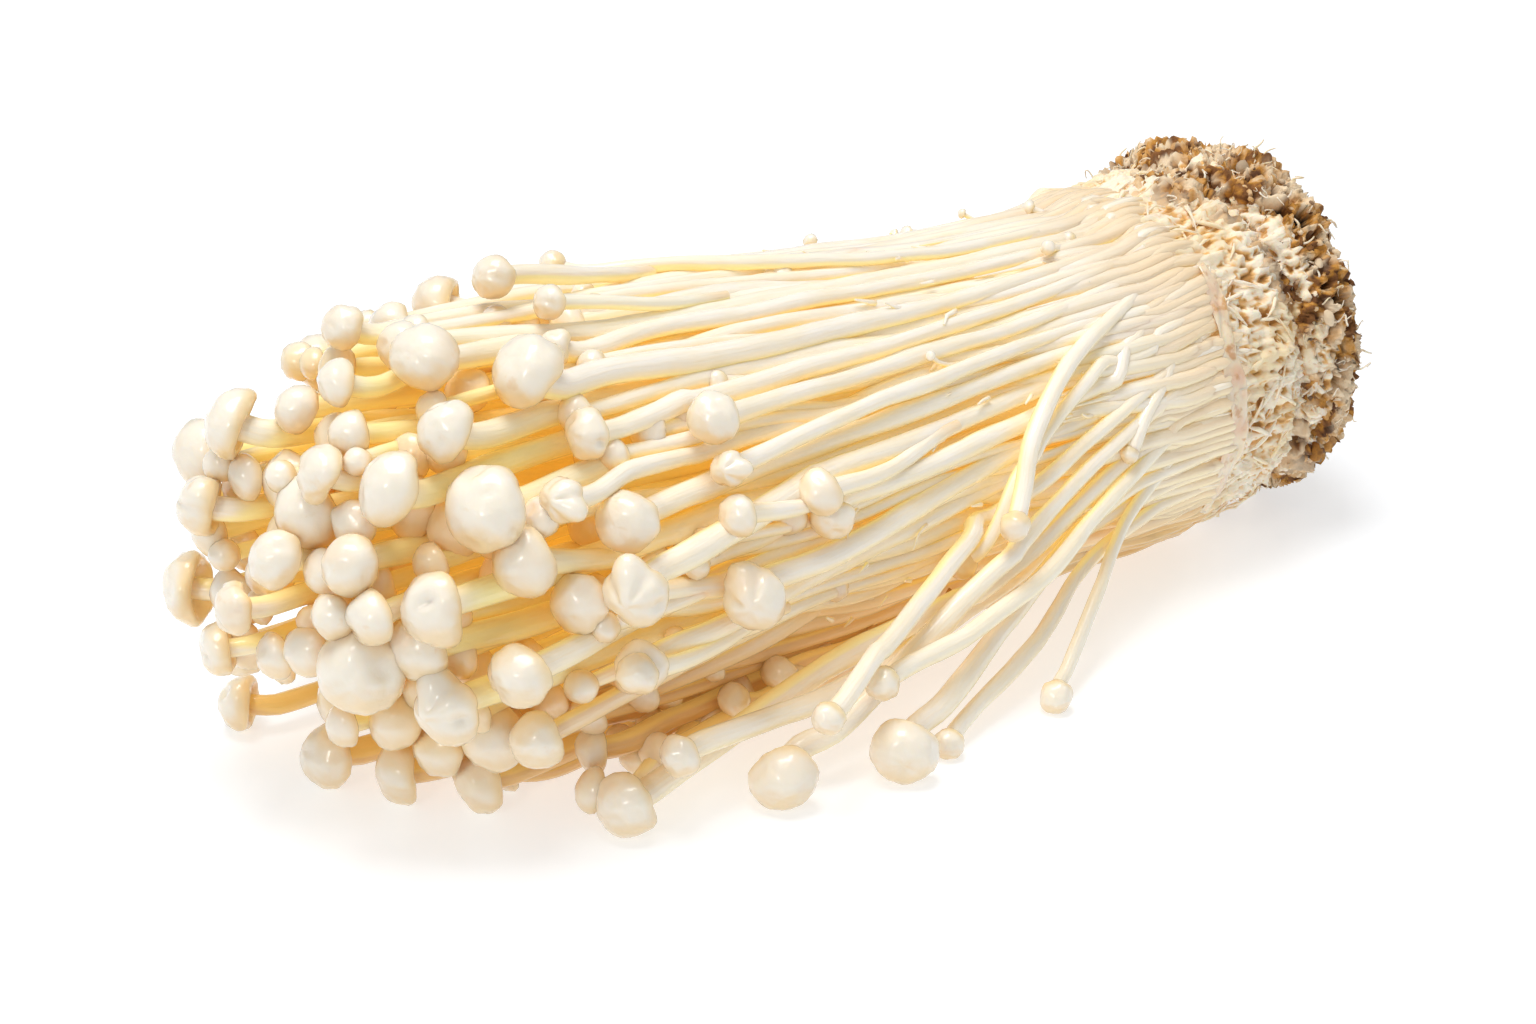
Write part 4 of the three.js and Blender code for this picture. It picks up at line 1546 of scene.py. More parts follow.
@dataclass
class MyceliumBlock:
    """The block of felted mycelium: strands leave the stems, run back over its side and fade into felt."""

    form: BlockForm
    skin: bpy.types.Material
    length: float = 27.0
    spacing: float = 0.38
    columns: int = 380
    strand_width: float = 1.5
    strand_height: float = 1.0
    mesh: float = 1.5

    def relief(
        self, points: np.ndarray, along: np.ndarray, turn: np.ndarray,
    ) -> tuple[np.ndarray, np.ndarray]:
        """Works out the felt's height and its creases.

        Args:
            points: the smooth outline's points.
            along: length along the outline.
            turn: angle round the block.

        Returns:
            Heights in mm, and the crease mask for painted shade, from 0 to 1.
        """
        round_mm = turn * self.form.radius.max()
        sway = 1.3 * ripple(points, 9.0)
        flat = np.stack([round_mm + sway, along * 0.16, np.zeros_like(along)], axis=-1)
        strands = np.abs(ripple(flat, self.strand_width))
        fibres = np.abs(ripple(flat + 31.0, self.strand_width * 0.42))
        lumps = ripple(points + 7.0, 5.5)
        flakes = ripple(points + 19.0, 1.3)
        fused = smoothstep(1.0, 9.0, along)
        height = self.strand_height * (1.0 - 0.45 * fused) * (strands * 2.2 - 0.5) + 0.35 * (fibres * 2 - 0.4)
        height += 0.75 * lumps + 0.6 * fused * flakes
        height -= flattening(turn)
        crease = smoothstep(0.12, 0.0, strands) * (1 - 0.4 * fused) + 0.6 * smoothstep(0.07, 0.0, fibres)
        netted = smoothstep(4.0, 11.0, along + 5.0 * ripple(points + 53.0, 6.0))
        _, gap, own = cells((points + ripples(points, 1.9)) * (0.62, 1.0, 1.0), self.mesh)
        hole = netted * smoothstep(0.12, 0.42, gap) * np.where(own > -0.35, 1.0, 0.35)
        # crease marks painted shade: the creases between strands and fibres, the low lumps and the holes
        return height - 0.75 * hole, np.clip(crease + 0.3 * smoothstep(0.1, -0.4, lumps) + 0.85 * hole, 0, 1)

    def build(self) -> bpy.types.Object:
        """Makes the block as one closed mesh.

        Returns:
            The block.
        """
        turns = whole_turn(self.columns)
        rows = np.arange(0, self.length, self.spacing)
        along, turn = (grid.ravel() for grid in np.meshgrid(rows, turns, indexing="ij"))
        smooth = self.form.place(along, turn)
        height, crease = self.relief(smooth, along, turn)
        outside = self.form.place(along, turn, height).reshape(len(rows), self.columns, 3)
        parts, creases = [], []
        for ring, shares in ((outside[0], (0.0, 0.5, 0.86)), (outside[-1], (0.9, 0.5, 0.0))):
            middle = ring.mean(axis=0)
            discs = [middle + (ring - middle) * share for share in shares]
            parts.append([disc[:1] if share == 0 else disc for disc, share in zip(discs, shares)])
            # the block's hidden ends are painted fully in shade
            creases.append(np.ones(1 + 2 * self.columns))
        vertices = np.vstack([*parts[0], outside.reshape(-1, 3), *parts[1]])
        values = {"crease": np.concatenate([creases[0], crease, creases[1]])}
        faces = turned_faces(len(rows) + 6, self.columns)
        block = mesh_object("mycelium_block", vertices, faces, values=values)
        block.data.materials.append(self.skin)
        return block


@dataclass
class SubstrateCrust:
    """The crust of spent substrate on the block's end: pitted crumbs, bridged by pale mycelium."""

    form: BlockForm
    skin: bpy.types.Material
    start: float = 15.0
    columns: int = 420
    spacing: float = 0.40
    wall: float = 1.8
    pore: float = 2.9
    grain: float = 1.2
    depth: float = 2.9
    buried: float = 1.6
    inner_rings: tuple[float, ...] = (0.97, 0.85, 0.6, 0.35, 0.12, 0.02)

    def edge(self, turn: np.ndarray) -> np.ndarray:
        """Gives the crust's ragged front edge, which comes forward on top and draws back on the near side.

        Args:
            turn: angle round the block.

        Returns:
            Length along the outline.
        """
        around = np.stack([np.cos(turn), np.sin(turn), np.zeros_like(turn)], axis=-1) * 22
        ragged = 4.0 * ripple(around, 7.0) + 2.4 * ripple(around, 2.2)
        near_side = np.exp(-(((turn - 3.0) / 0.7) ** 2))
        top = np.exp(-(((turn - 1.6) / 0.55) ** 2))
        return self.start - 7.0 * top + 4.0 * near_side + ragged

    def relief(self, points: np.ndarray, turn: np.ndarray, inset: np.ndarray) -> dict[str, np.ndarray]:
        """Works out the crust's height and what its finish reads: open pores between pale walls.

        Args:
            points: the smooth outline's points.
            turn: angle round the block.
            inset: distance from the front edge.

        Returns:
            Heights in mm, and the values pit, tone and web from 0 to 1.
        """
        _, gap, own = cells(points + ripples(points, 2.6) * 1.3, self.pore)
        _, grain_gap, grain_own = cells(points + 60.0, self.grain)
        bare = smoothstep(-0.62, -0.3, ripple(points + 11.0, 7.0)) * smoothstep(0.5, 4.0, inset)
        wall = smoothstep(0.3, 0.08, gap + 0.24 * ripple(points + 5.0, 0.9))
        hollow = (1 - wall) * np.where(own > -0.15, 1.0, 0.25) * bare
        rough = smoothstep(0.4, 0.05, grain_gap)
        height = 1.0 - self.depth * hollow - 0.6 * rough
        height = height + 1.5 * ripple(points, 6.5) + 0.5 * ripple(points + 29.0, 1.2)
        height -= flattening(turn)
        height = np.where(inset < 2.5, height * inset / 2.5 - 1.1 * (1 - inset / 2.5), height)
        pale = smoothstep(-0.1, 0.25, ripple(points + 37.0, 3.2))
        web = np.maximum(wall * pale * 0.95, (1 - bare) * 0.7)
        # pit: painted shade in the open pores and between the grains, lighter under webs
        pit = np.clip(hollow * smoothstep(0.08, 0.4, gap) + 0.4 * rough * bare, 0, 1)
        tone = np.clip(0.5 + 0.22 * own + 0.28 * grain_own, 0, 1)
        return {"height": height, "pit": pit * (1 - 0.5 * web), "tone": tone, "web": web}

    def build(self) -> bpy.types.Object:
        """Makes the crust as one closed shell over the block's end.

        Returns:
            The crust, whose first points are its inside.
        """
        turns = whole_turn(self.columns)
        total = self.form.along[-1]
        front = self.edge(turns)
        count = int((total - self.start) / self.spacing)
        share = np.linspace(0, 1, count, endpoint=False)
        along = front[None] + (total - front[None]) * share[:, None]
        turn = np.broadcast_to(turns, along.shape)
        smooth = self.form.place(along.ravel(), turn.ravel())
        found = self.relief(smooth, turn.ravel(), (along - front[None]).ravel())
        outside = self.form.place(along.ravel(), turn.ravel(), found["height"])
        inner_share = np.array(self.inner_rings)
        inner_along = front[None] + (total - front[None]) * inner_share[:, None]
        inner_turn = np.broadcast_to(turns, inner_along.shape)
        sunk = -self.wall - self.buried
        inside = self.form.place(inner_along.ravel(), inner_turn.ravel(), sunk)
        poles = self.form.place(np.array([total, total]), np.zeros(2), np.array([sunk, 0.2]))
        vertices = np.vstack([poles[:1], inside, outside, poles[1:]])
        inner = len(inside) + 1
        values = {
            key: np.concatenate([np.full(inner, 0.5), found[key], [0.5]]) for key in ("pit", "tone", "web")
        }
        faces = turned_faces(count + len(inner_share) + 2, self.columns)
        crust = mesh_object("crumbled_crust", vertices, faces, values=values)
        crust.data.materials.append(self.skin)
        return crust


@dataclass
class Scatter:
    """Strews small shapes over a surface, by one Geometry Nodes tree."""

    tree: bpy.types.NodeTree | None = None

    def build_tree(self) -> None:
        """Builds the tree: points on the surface, a shape on each, with its own turn, size and tone."""
        tree = new_tree("shapes_strewn_on_surface", {
            "Shapes": "Collection", "Density": "Float", "Smallest": "Float", "Largest": "Float",
            "Sink": "Float", "Seed": "Int", "Skin": "Material",
        })
        add = partial(add_node, tree)
        given = add("NodeGroupInput").node.outputs
        wanted = add(READ, {"Name": "wanted"}, "Attribute", data_type="FLOAT")
        density = add(MATH, {0: wanted, 1: given["Density"]}, operation="MULTIPLY")
        strewn = add("GeometryNodeDistributePointsOnFaces", {
            "Mesh": given["Geometry"], "Density": density, "Seed": given["Seed"],
        }).node.outputs
        chances = []
        ranges = ((0.0, 6.283), (given["Smallest"], given["Largest"]), (0.0, 1.0))
        for shift, (low, high) in enumerate(ranges, 1):
            seed = add(MATH, {0: given["Seed"], 1: float(shift)}, operation="ADD")
            chances.append(add(CHANCE, {2: low, 3: high, "Seed": seed}, 1, data_type="FLOAT"))
        turn, size, tone = chances

        down = add(MATH, {0: given["Sink"], 1: -1.0}, operation="MULTIPLY")
        sunk = add(VECTORS, {0: strewn["Normal"], "Scale": down}, operation="SCALE")
        spin = add("FunctionNodeAxisAngleToRotation", {"Axis": (0.0, 0.0, 1.0), "Angle": turn})
        inputs = {"Rotation": strewn["Rotation"], "Rotate By": spin}
        shapes = add("GeometryNodeInstanceOnPoints", {
            "Points": add(MOVE, {"Geometry": strewn["Points"], "Offset": sunk}),
            "Instance": add("GeometryNodeCollectionInfo", {
                "Collection": given["Shapes"], "Separate Children": True, "Reset Children": True,
            }),
            "Pick Instance": True,
            "Instance Index": add(CHANCE, {4: 0, 5: 100, "Seed": given["Seed"]}, 2, data_type="INT"),
            "Rotation": add("FunctionNodeRotateRotation", inputs, rotation_space="LOCAL"),
            "Scale": size,
        })
        inputs = {"Geometry": shapes, "Name": "tone", "Value": tone}
        whole = add(STORE, inputs, data_type="FLOAT", domain="INSTANCE")
        whole = add("GeometryNodeRealizeInstances", {"Geometry": whole})
        whole = add(SET_SKIN, {"Geometry": whole, "Material": given["Skin"]})
        add("NodeGroupOutput", {"Geometry": whole})
        self.tree = tree

    def strew(
        self, name: str, ground: bpy.types.Object, wanted: np.ndarray, shapes: list[bpy.types.Object],
        settings: tuple[float, float, float, float, int], skin: bpy.types.Material,
    ) -> bpy.types.Object:
        """Strews shapes over a copy of the ground.

        Args:
            name: the new piece's name.
            ground: the surface to strew on.
            wanted: how wanted a shape is at each of its points, from 0 to 1.
            shapes: unit shapes to choose from, removed afterwards.
            settings: shapes per square mm, smallest and largest size and depth in mm, and the seed.
            skin: the shapes' material.

        Returns:
            The strewn shapes as one plain mesh.
        """
        density, smallest, largest, sink, seed = settings
        collection = bpy.data.collections.new(f"{name}_shapes")
        for shape in shapes:
            bpy.context.scene.collection.objects.unlink(shape)
            collection.objects.link(shape)
        source = bpy.data.objects.new(f"{name}_ground", ground.data.copy())
        bpy.context.scene.collection.objects.link(source)
        attribute = source.data.attributes.new("wanted", "FLOAT", "POINT")
        attribute.data.foreach_set("value", wanted.astype(np.float32))
        piece = grow(name, source, self.tree, {
            "Shapes": collection,
            "Density": density / MM**2,
            "Smallest": smallest * MM,
            "Largest": largest * MM,
            "Sink": sink * MM, "Seed": seed, "Skin": skin,
        })
        piece.data.shade_smooth()
        for shape in shapes:
            bpy.data.objects.remove(shape)
        bpy.data.collections.remove(collection)
        return piece


@dataclass
class Crumbs:
    """Unit shapes for what clings to the crust: crumbs, split hulls and curled threads."""

    rng: np.random.Generator

    def crumb(self, number: int, level: int) -> bpy.types.Object:
        """Makes one uneven crumb.

        Args:
            number: its number.
            level: 1 for 20 faces, 2 for 80.

        Returns:
            The crumb.
        """
        shaper = bmesh.new()
        bmesh.ops.create_icosphere(shaper, subdivisions=level, radius=1.0)
        size = self.rng.uniform(0.55, 1.25, 3)
        offset = Vector(self.rng.uniform(-9, 9, 3))
        for vertex in shaper.verts:
            swell = 1 + 0.5 * noise.noise(vertex.co * 1.3 + offset)
            vertex.co = Vector(np.array(vertex.co) * size) * swell
        bmesh.ops.recalc_face_normals(shaper, faces=shaper.faces)
        mesh = bpy.data.meshes.new(f"crumb_{number:02d}")
        shaper.to_mesh(mesh)
        shaper.free()
        made = bpy.data.objects.new(mesh.name, mesh)
        bpy.context.scene.collection.objects.link(made)
        return made

    def thread(self, number: int, steps: int = 9) -> bpy.types.Object:
        """Makes one curled thread of about unit size that rises from its foot.

        Args:
            number: its number.
            steps: points along it.

        Returns:
            The thread.
        """
        share = np.linspace(0, 1, steps)
        bend = self.rng.uniform(2.0, 6.0)
        lean = self.rng.uniform(-0.6, 0.6)
        path = np.stack([
            0.45 * (1 - np.cos(bend * share)) * self.rng.choice([-1, 1]),
            lean * share + 0.12 * np.sin(5 * share + self.rng.uniform(0, 6)),
            0.15 + 0.55 * np.sin(bend * 0.45 * share),
        ], axis=-1)
        path[0, 2] = -0.1
        radii = np.interp(share, [0, 0.3, 1], [0.12, 0.085, 0.045])
        vertices, faces = tube(path, radii, 4)
        return mesh_object(f"thread_{number:02d}", vertices / MM, faces)

    def hull(self, number: int, steps: int = 5) -> bpy.types.Object:
        """Makes one split husk: a thin curved flake of about unit size.

        Args:
            number: its number.
            steps: points along and across it.

        Returns:
            The flake, closed, with an inside and an outside.
        """
        curl = self.rng.uniform(0.5, 1.2)
        width = self.rng.uniform(0.35, 0.7)
        turns = np.arange(2 * steps) * math.pi / steps
        share = np.linspace(-1, 1, steps)
        rows = []
        for place in share:
            across = width * math.sqrt(max(1 - place * place * 0.9, 0.05))
            side = across * np.cos(turns)
            thick = 0.09 * np.sin(turns)
            height = curl * (0.35 - side**2 - 0.3 * place**2) + thick
            rows.append(np.stack([np.full(2 * steps, place), side, height], axis=-1))
        poles = [rows[0].mean(axis=0) - (0.05, 0, 0), rows[-1].mean(axis=0) + (0.05, 0, 0)]
        vertices = np.vstack([poles[0], *rows, poles[1]])
        return mesh_object(f"hull_{number:02d}", vertices / MM, turned_faces(steps + 2, 2 * steps))


@dataclass
class FilmStrip:
    """The strip of dried growth skin that clings to the block where the side stems leave it."""

    form: BlockForm
    skin: bpy.types.Material
    first_turn: float = 2.25
    last_turn: float = 3.75
    middle: float = 5.0
    steps: int = 150
    across: int = 14
    thickness: float = 0.16
    narrowest: float = 0.35
    width: float = 1.6
    lift: float = 0.75

    def build(self) -> bpy.types.Object:
        """Makes the strip as a closed thin sheet that narrows to a thread at its ends.

        Returns:
            The strip.
        """
        share = np.linspace(0, 1, self.steps)
        turns = np.arange(2 * self.across) * math.pi / self.across
        turn = self.first_turn + (self.last_turn - self.first_turn) * share
        path = np.stack([share * 30, np.zeros(self.steps), np.zeros(self.steps)], axis=-1)
        widest = self.width * np.sin(math.pi * np.clip(share, 0, 1)) ** 0.7
        width = self.narrowest + widest * (0.75 + 0.6 * ripple(path, 6.0))
        middle = self.middle - 2.0 * share + 1.3 * ripple(path + 9.0, 8.0)
        rows = []
        for place in range(self.steps):
            side = width[place] * np.cos(turns)
            spots = np.stack([side + 40, np.full(len(side), share[place] * 34), np.zeros(len(side))], axis=-1)
            wrinkle = 0.55 * np.abs(ripple(spots * (1.0, 0.3, 1.0), 1.2)) + 0.25 * ripple(spots, 3.0)
            lift = self.lift + wrinkle + self.thickness * np.sin(turns)
            rows.append(self.form.place(middle[place] + side, np.full(len(side), turn[place]), lift))
        poles = [rows[0].mean(axis=0), rows[-1].mean(axis=0)]
        vertices = np.vstack([poles[0], *rows, poles[1]])
        strip = mesh_object("dried_film_strip", vertices, turned_faces(self.steps + 2, 2 * self.across))
        shaper = bmesh.new()
        shaper.from_mesh(strip.data)
        bmesh.ops.recalc_face_normals(shaper, faces=shaper.faces)
        shaper.to_mesh(strip.data)
        shaper.free()
        strip.data.shade_smooth()
        strip.data.materials.append(self.skin)
        return strip


@dataclass
class Roots:
    """How stems end on the block: they run back over it, thin out and sink into the felt."""

    section: Section
    form: BlockForm
    rng: np.random.Generator
    blend_reach: float = 30.0

    def run(self, one: Mushroom, furthest: float) -> None:
        """Runs an outer stem's foot back over the block.

        Args:
            one: the mushroom, whose spine and widths are replaced.
            furthest: how far behind the neck it ends.
        """
        reach, share, turn = self.section.polar(one.spine)
        rise = smoothstep(self.blend_reach, 0.0, reach)
        raised = share + (self.rng.uniform(1.0, 1.04) - share) * rise
        spine = self.section.point(reach, raised, turn)
        back = np.arange(1.5, furthest, 2.0)[::-1]
        sway = np.cumsum(self.rng.normal(0, 0.007, len(back)))[::-1]
        lift = 0.25 - 0.9 * smoothstep(0.35 * furthest, furthest, back)
        root = self.form.place(back, turn[0] + sway, lift)
        own = one.widths[0] * np.interp(back, [0, furthest * 0.6, furthest], [1.0, 0.85, 0.4])
        one.spine = np.vstack([root, spine[1:] if reach[0] < 1.0 else spine])
        one.widths = np.append(own, one.widths[1:] if reach[0] < 1.0 else one.widths)

    def strands(
        self,
        count: int,
        reach: tuple[float, float],
        behind: tuple[float, float],
        radius: tuple[float, float],
    ) -> list[Mushroom]:
        """Makes thin strands that lie between the stems' feet.

        Args:
            count: how many.
            reach: how far in front of the neck they start, at least and at most.
            behind: how far behind it they end, at least and at most.
            radius: their smallest and largest radius.

        Returns:
            The strands, as mushrooms without caps.
        """
        made = []
        for number in range(count):
            turn = 2 * math.pi * (number + self.rng.uniform(-0.4, 0.4)) / count
            front = np.arange(self.rng.uniform(*reach), 0, -3.0)[::-1]
            back = np.arange(0.5, self.rng.uniform(*behind), 2.5)[::-1]
            drift = self.rng.normal(0, 0.05)
            lift = self.rng.uniform(0.1, 0.7)
            share = 1.02 - 0.05 * (front / max(front[-1], 1)) if len(front) else front
            sunk = lift - 0.8 * smoothstep(0.5, 1.0, back / back[0])
            spine = np.vstack([
                self.form.place(back, turn + drift * back / 20, sunk),
                self.section.point(front, share, np.full(len(front), turn)),
            ])
            own = self.rng.uniform(*radius)
            widths = own * np.interp(np.linspace(0, 1, len(spine)), [0, 0.2, 0.7, 1], [0.35, 0.9, 1.0, 0.35])
            tone, spin = self.rng.uniform(0, 1), self.rng.uniform(0, 6)
            made.append(Mushroom(f"strand_{number:03d}", spine, widths, tone=tone, spin=spin))
        return made

    def young(self, places: list[tuple[float, float, float]]) -> list[Mushroom]:
        """Makes the small mushrooms that lie on the bundle between the large ones.

        Args:
            places: how far each one's cap is from the neck, its angle round the bundle and its cap's radius.

        Returns:
            The mushrooms, each with a slim stem that rises out of the bundle behind its cap.
        """
        made = []
        for number, (reach, turn, radius) in enumerate(places):
            back = np.linspace(24, 0, 9)
            share = 0.98 + (radius + 0.6) / 28 * smoothstep(24, 0, back)
            drift = self.rng.normal(0, 0.07) + 0.05 * np.sin(back / 5)
            spine = self.section.point(reach - back, share, turn + drift * back / 24)
            widths = np.linspace(0.3, 0.46, 9) * radius
            made.append(Mushroom(
                f"young_{number:02d}", spine, widths, radius, spine[-1] - spine[-2],
                spin=self.rng.uniform(0, 6), tone=self.rng.uniform(0, 1),
            ))
        return made

    def slumped(self, count: int) -> list[Mushroom]:
        """Makes the slim mushrooms that sag from the bundle's underside onto the surface.

        Args:
            count: how many.

        Returns:
            The mushrooms, each lying on the surface towards its cap.
        """
        made = []
        for number in range(count):
            turn, tip = 3.85 + 0.5 * (number + self.rng.uniform(0, 1)) / count, self.rng.uniform(45, 98)
            own, radius = self.rng.uniform(0.8, 1.25), self.rng.uniform(1.5, 2.7)
            reach = np.linspace(3, tip, 18)
            share = 0.97 + self.rng.uniform(0.05, 0.26) * (reach / 98) ** 1.3
            sway = self.rng.normal(0, 0.12) * (reach / tip) ** 2 + 0.03 * np.sin(reach / 9 + number)
            spine = self.section.point(reach, share, turn + sway)
            widths = own * np.linspace(0.85, 1.05, 18)
            one = Mushroom(
                f"slumped_{number:02d}", spine, widths, radius, spine[-1] - spine[-3],
                spin=self.rng.uniform(0, 6), tone=self.rng.uniform(0, 1),
            )
            one.cap_axis = unit(one.cap_axis) + self.rng.normal(0, 0.2, 3) + np.array([0, 0.3, 0.15])
            one.rest()
            one.enter_cap()
            made.append(one)
        return made

    def wool(self, count: int) -> list[Mushroom]:
        """Makes the short flat fibres that lie over the felt between the stems' feet and the crust.

        Args:
            count: how many.

        Returns:
            The fibres, as mushrooms without caps.
        """
        made = []
        for number in range(count):
            turn, middle = self.rng.uniform(0, 2 * math.pi), self.rng.uniform(2, 15)
            length, slant = self.rng.uniform(1.8, 4.5), self.rng.normal(0, 0.07)
            share = np.linspace(-0.5, 0.5, 5)
            lift = self.rng.uniform(-0.1, 0.4) - 1.5 * share**2
            spine = self.form.place(middle + length * share, turn + slant * share * 2, lift)[::-1]
            widths = self.rng.uniform(0.12, 0.32) * np.array([0.4, 0.9, 1.0, 0.9, 0.4])
            made.append(Mushroom(f"fibre_{number:03d}", spine, widths, tone=0.0, spin=self.rng.uniform(0, 6)))
        return made

    def sprigs(
        self, count: int, cap: tuple[float, float], length: tuple[float, float], start: float,
        turns: tuple[float, float] = (-0.6, 3.9),
    ) -> list[Mushroom]:
        """Makes the stunted growth that sticks out between the stems near the neck.

        Args:
            count: how many.
            cap: their caps' radius, at least and at most, 0 for bare hooked fibres.
            length: how long they are, at least and at most.
            start: the furthest reach that one starts from.
            turns: the first and last angle round the bundle where they grow.

        Returns:
            The sprigs, as mushrooms.
        """
        made = []
        for number in range(count):
            turn, reach = self.rng.uniform(*turns), start * self.rng.beta(1.0, 1.6)
            own, radius = self.rng.uniform(*length), self.rng.uniform(*cap)
            share = np.linspace(0, 1, 6)
            lift = self.rng.uniform(0.05, 0.4) * own * share ** self.rng.uniform(1.0, 2.0) - 0.4
            bend = self.rng.normal(0, 0.35) * own * share**2
            _, width, height = self.section.sizes(reach + own * share)
            size = np.hypot(width * math.cos(turn), height * math.sin(turn))
            spine = self.section.point(reach + own * share * 0.8, 1 + lift / size, turn + bend / size)
            widths = np.interp(share, [0, 1], [0.3, 0.1]) if radius == 0 else np.full(6, radius * 0.5)
            widths = widths * self.rng.uniform(0.7, 1.3)
            made.append(Mushroom(
                f"sprig_{number:03d}", spine, widths, radius, spine[-1] - spine[-2],
                int(self.rng.integers(20)), self.rng.uniform(0, 6), self.rng.uniform(0, 1),
            ))
        return made


@dataclass
class BundleHeart:
    """The tight middle of the bundle, where the stems are too close to part: one closed fluted core."""

    section: Section
    skin: bpy.types.Material
    share: float = 0.66
    furthest: float = 70.0
    flutes: int = 38
    columns: int = 190
    step: float = 1.6
    radius: float = 12.0
    end_dome: float = 9.0

    def build(self) -> bpy.types.Object:
        """Makes the core, with the values that the stems' finish reads.

        Returns:
            The core.
        """
        turns = whole_turn(self.columns)
        rows = np.arange(self.furthest, -1.0, -self.step)
        reach, turn = (grid.ravel() for grid in np.meshgrid(rows, turns, indexing="ij"))
        flat = np.stack([turn * self.radius, reach * 0.05, np.zeros_like(turn)], axis=-1)
        flute = np.abs(np.sin(turn * self.flutes / 2 + 0.8 * ripple(flat, 3.0)))
        end = np.sqrt(np.clip((self.furthest + 0.3 - reach) / self.end_dome, 0, 1))
        share = self.share * (0.88 + 0.12 * flute + 0.08 * ripple(flat + 5.0, 4.0)) * (0.15 + 0.85 * end)
        points = self.section.point(reach, share, turn)
        poles = self.section.point(np.array([self.furthest + 0.6, -1.0]), np.zeros(2), np.zeros(2))
        vertices = np.vstack([poles[:1], points, poles[1:]])
        faces = turned_faces(len(rows) + 2, self.columns)
        grain = np.stack([turn * self.radius, turn * 0, reach], axis=-1)
        # the core is painted as fully in shade, deep in the bundle and facing neighbours, with the stems'
        # full painted glow
        even = {"tone": 0.3, "depth": 1.0, "lower": 0.0, "along": 1.0, "gap": 1.0, "shaded": 1.0}
        values = {label: np.full(len(vertices), value) for label, value in even.items()}
        values["grain"] = np.vstack([np.zeros(3), grain, np.zeros(3)])
        heart = mesh_object("bundle_heart", vertices, faces, values=values)
        heart.data.materials.append(self.skin)
        return heart


@dataclass
class OuterMushrooms:
    """The mushrooms that the frame places one by one, each with a splayed cap and a cap shape of its own."""

    section: Section
    moulds: CapMoulds
    rng: np.random.Generator
    button_radius: float = 2.1
    # Chances of each kind of cap: round ones are the most common.
    kinds: tuple[CapKind, ...] = 3 * (CapKind.ROUND,) + 2 * (CapKind.DENTED,) + (CapKind.FOLDED, CapKind.TWIN)

    def build(self, nodes: dict[str, bpy.types.Object]) -> list[Mushroom]:
        """Reads the mushrooms from the frame and fits their caps.

        Args:
            nodes: the CAD nodes by name.

        Returns:
            The mushrooms, in the order of their names.
        """
        rng = self.rng
        made = [Mushroom.of(node) for name, node in sorted(nodes.items()) if "mushroom" in name]
        for one in made:
            turn = self.section.polar(one.spine[-1])[2]
            outwards = 0.7 * math.cos(turn) + rng.uniform(0.0, 0.75)
            upwards = rng.uniform(0.2, 0.5) * max(math.sin(turn), 0)
            one.cap_axis = one.cap_axis + np.array([0, outwards, upwards]) + rng.normal(0, 0.1, 3)
            one.rest()
            one.enter_cap()
            slim = np.interp(self.section.polar(one.spine)[0], (0, 35, 95), (0.84, 0.92, 1.06))
            one.widths = one.widths * slim * rng.uniform(0.8, 1.16)
            small = one.cap_radius < self.button_radius
            kind = CapKind.BUTTON if small else self.kinds[int(rng.integers(len(self.kinds)))]
            one.mould = self.moulds.pick(kind, rng)
            one.spin, one.tone = rng.uniform(0, 2 * math.pi), rng.uniform(0, 1)
        return made


@dataclass
class CrustLitter:
    """Loose matter on the crust: crumbs, lumps and hulls where it is bare, and threads all over it."""

    crust: bpy.types.Object
    crumbled: bpy.types.Material
    felt: bpy.types.Material

    def value(self, label: str) -> np.ndarray:
        """Reads one of the crust's own values.

        Args:
            label: the value's name.

        Returns:
            The value at each of the crust's points.
        """
        data = np.empty(len(self.crust.data.vertices), np.float32)
        self.crust.data.attributes[label].data.foreach_get("value", data)
        return data

    def build(self) -> None:
        """Strews each kind of shape over the crust's outside."""
        web, pit = self.value("web"), self.value("pit")
        inside_points = len(SubstrateCrust.inner_rings) * SubstrateCrust.columns
        outside = np.arange(len(web)) > inside_points
        # no crumbs over the webs or the painted pit shade
        bare = outside * (1 - 0.7 * web) * np.clip(1 - 1.3 * pit, 0, 1)
        scatter = Scatter()
        scatter.build_tree()
        shapes = Crumbs(np.random.default_rng(5))
        crumb, lump = partial(shapes.crumb, level=1), partial(shapes.crumb, level=2)
        # Shapes per square mm, smallest and largest size and depth in mm, and the seed.
        strewn = (
            ("crust_crumbs", 8, crumb, bare, (0.36, 0.16, 0.5, 0.05, 1)),
            ("crust_lumps", 6, lump, bare, (0.015, 0.6, 1.0, 0.35, 2)),
            ("crust_hulls", 6, shapes.hull, bare, (0.035, 0.6, 1.2, 0.0, 3)),
            ("crust_threads", 10, shapes.thread, outside * 1.0, (0.08, 0.7, 1.6, 0.15, 4)),
        )
        for name, count, make, wanted, settings in strewn:
            skin, slot = (self.felt, "mycelium") if name == "crust_threads" else (self.crumbled, "substrate")
            made = [make(number) for number in range(count)]
            keep(scatter.strew(name, self.crust, wanted, made, settings, skin), slot)


# ---------------------------------------------------------------- the studio


@dataclass(frozen=True)
class Softbox:
    """A square lamp that faces the object, with its place and width in metres and its power in watts."""

    name: str
    place: tuple[float, float, float]
    width: float
    power: float
    colour: str = "FFFDFA"
    aim: tuple[float, float, float] = (0.0, 0.0, 0.02)

    def build(self) -> None:
        """Hangs the lamp and turns it to the object."""
        light = bpy.data.lights.new(self.name, "AREA")
        light.size = self.width
        light.energy = self.power
        light.color = srgb(self.colour)[:3]
        lamp = bpy.data.objects.new(self.name, light)
        lamp.location = self.place
        lamp.rotation_euler = (Vector(self.aim) - Vector(self.place)).to_track_quat("-Z", "Y").to_euler()
        bpy.context.scene.collection.objects.link(lamp)


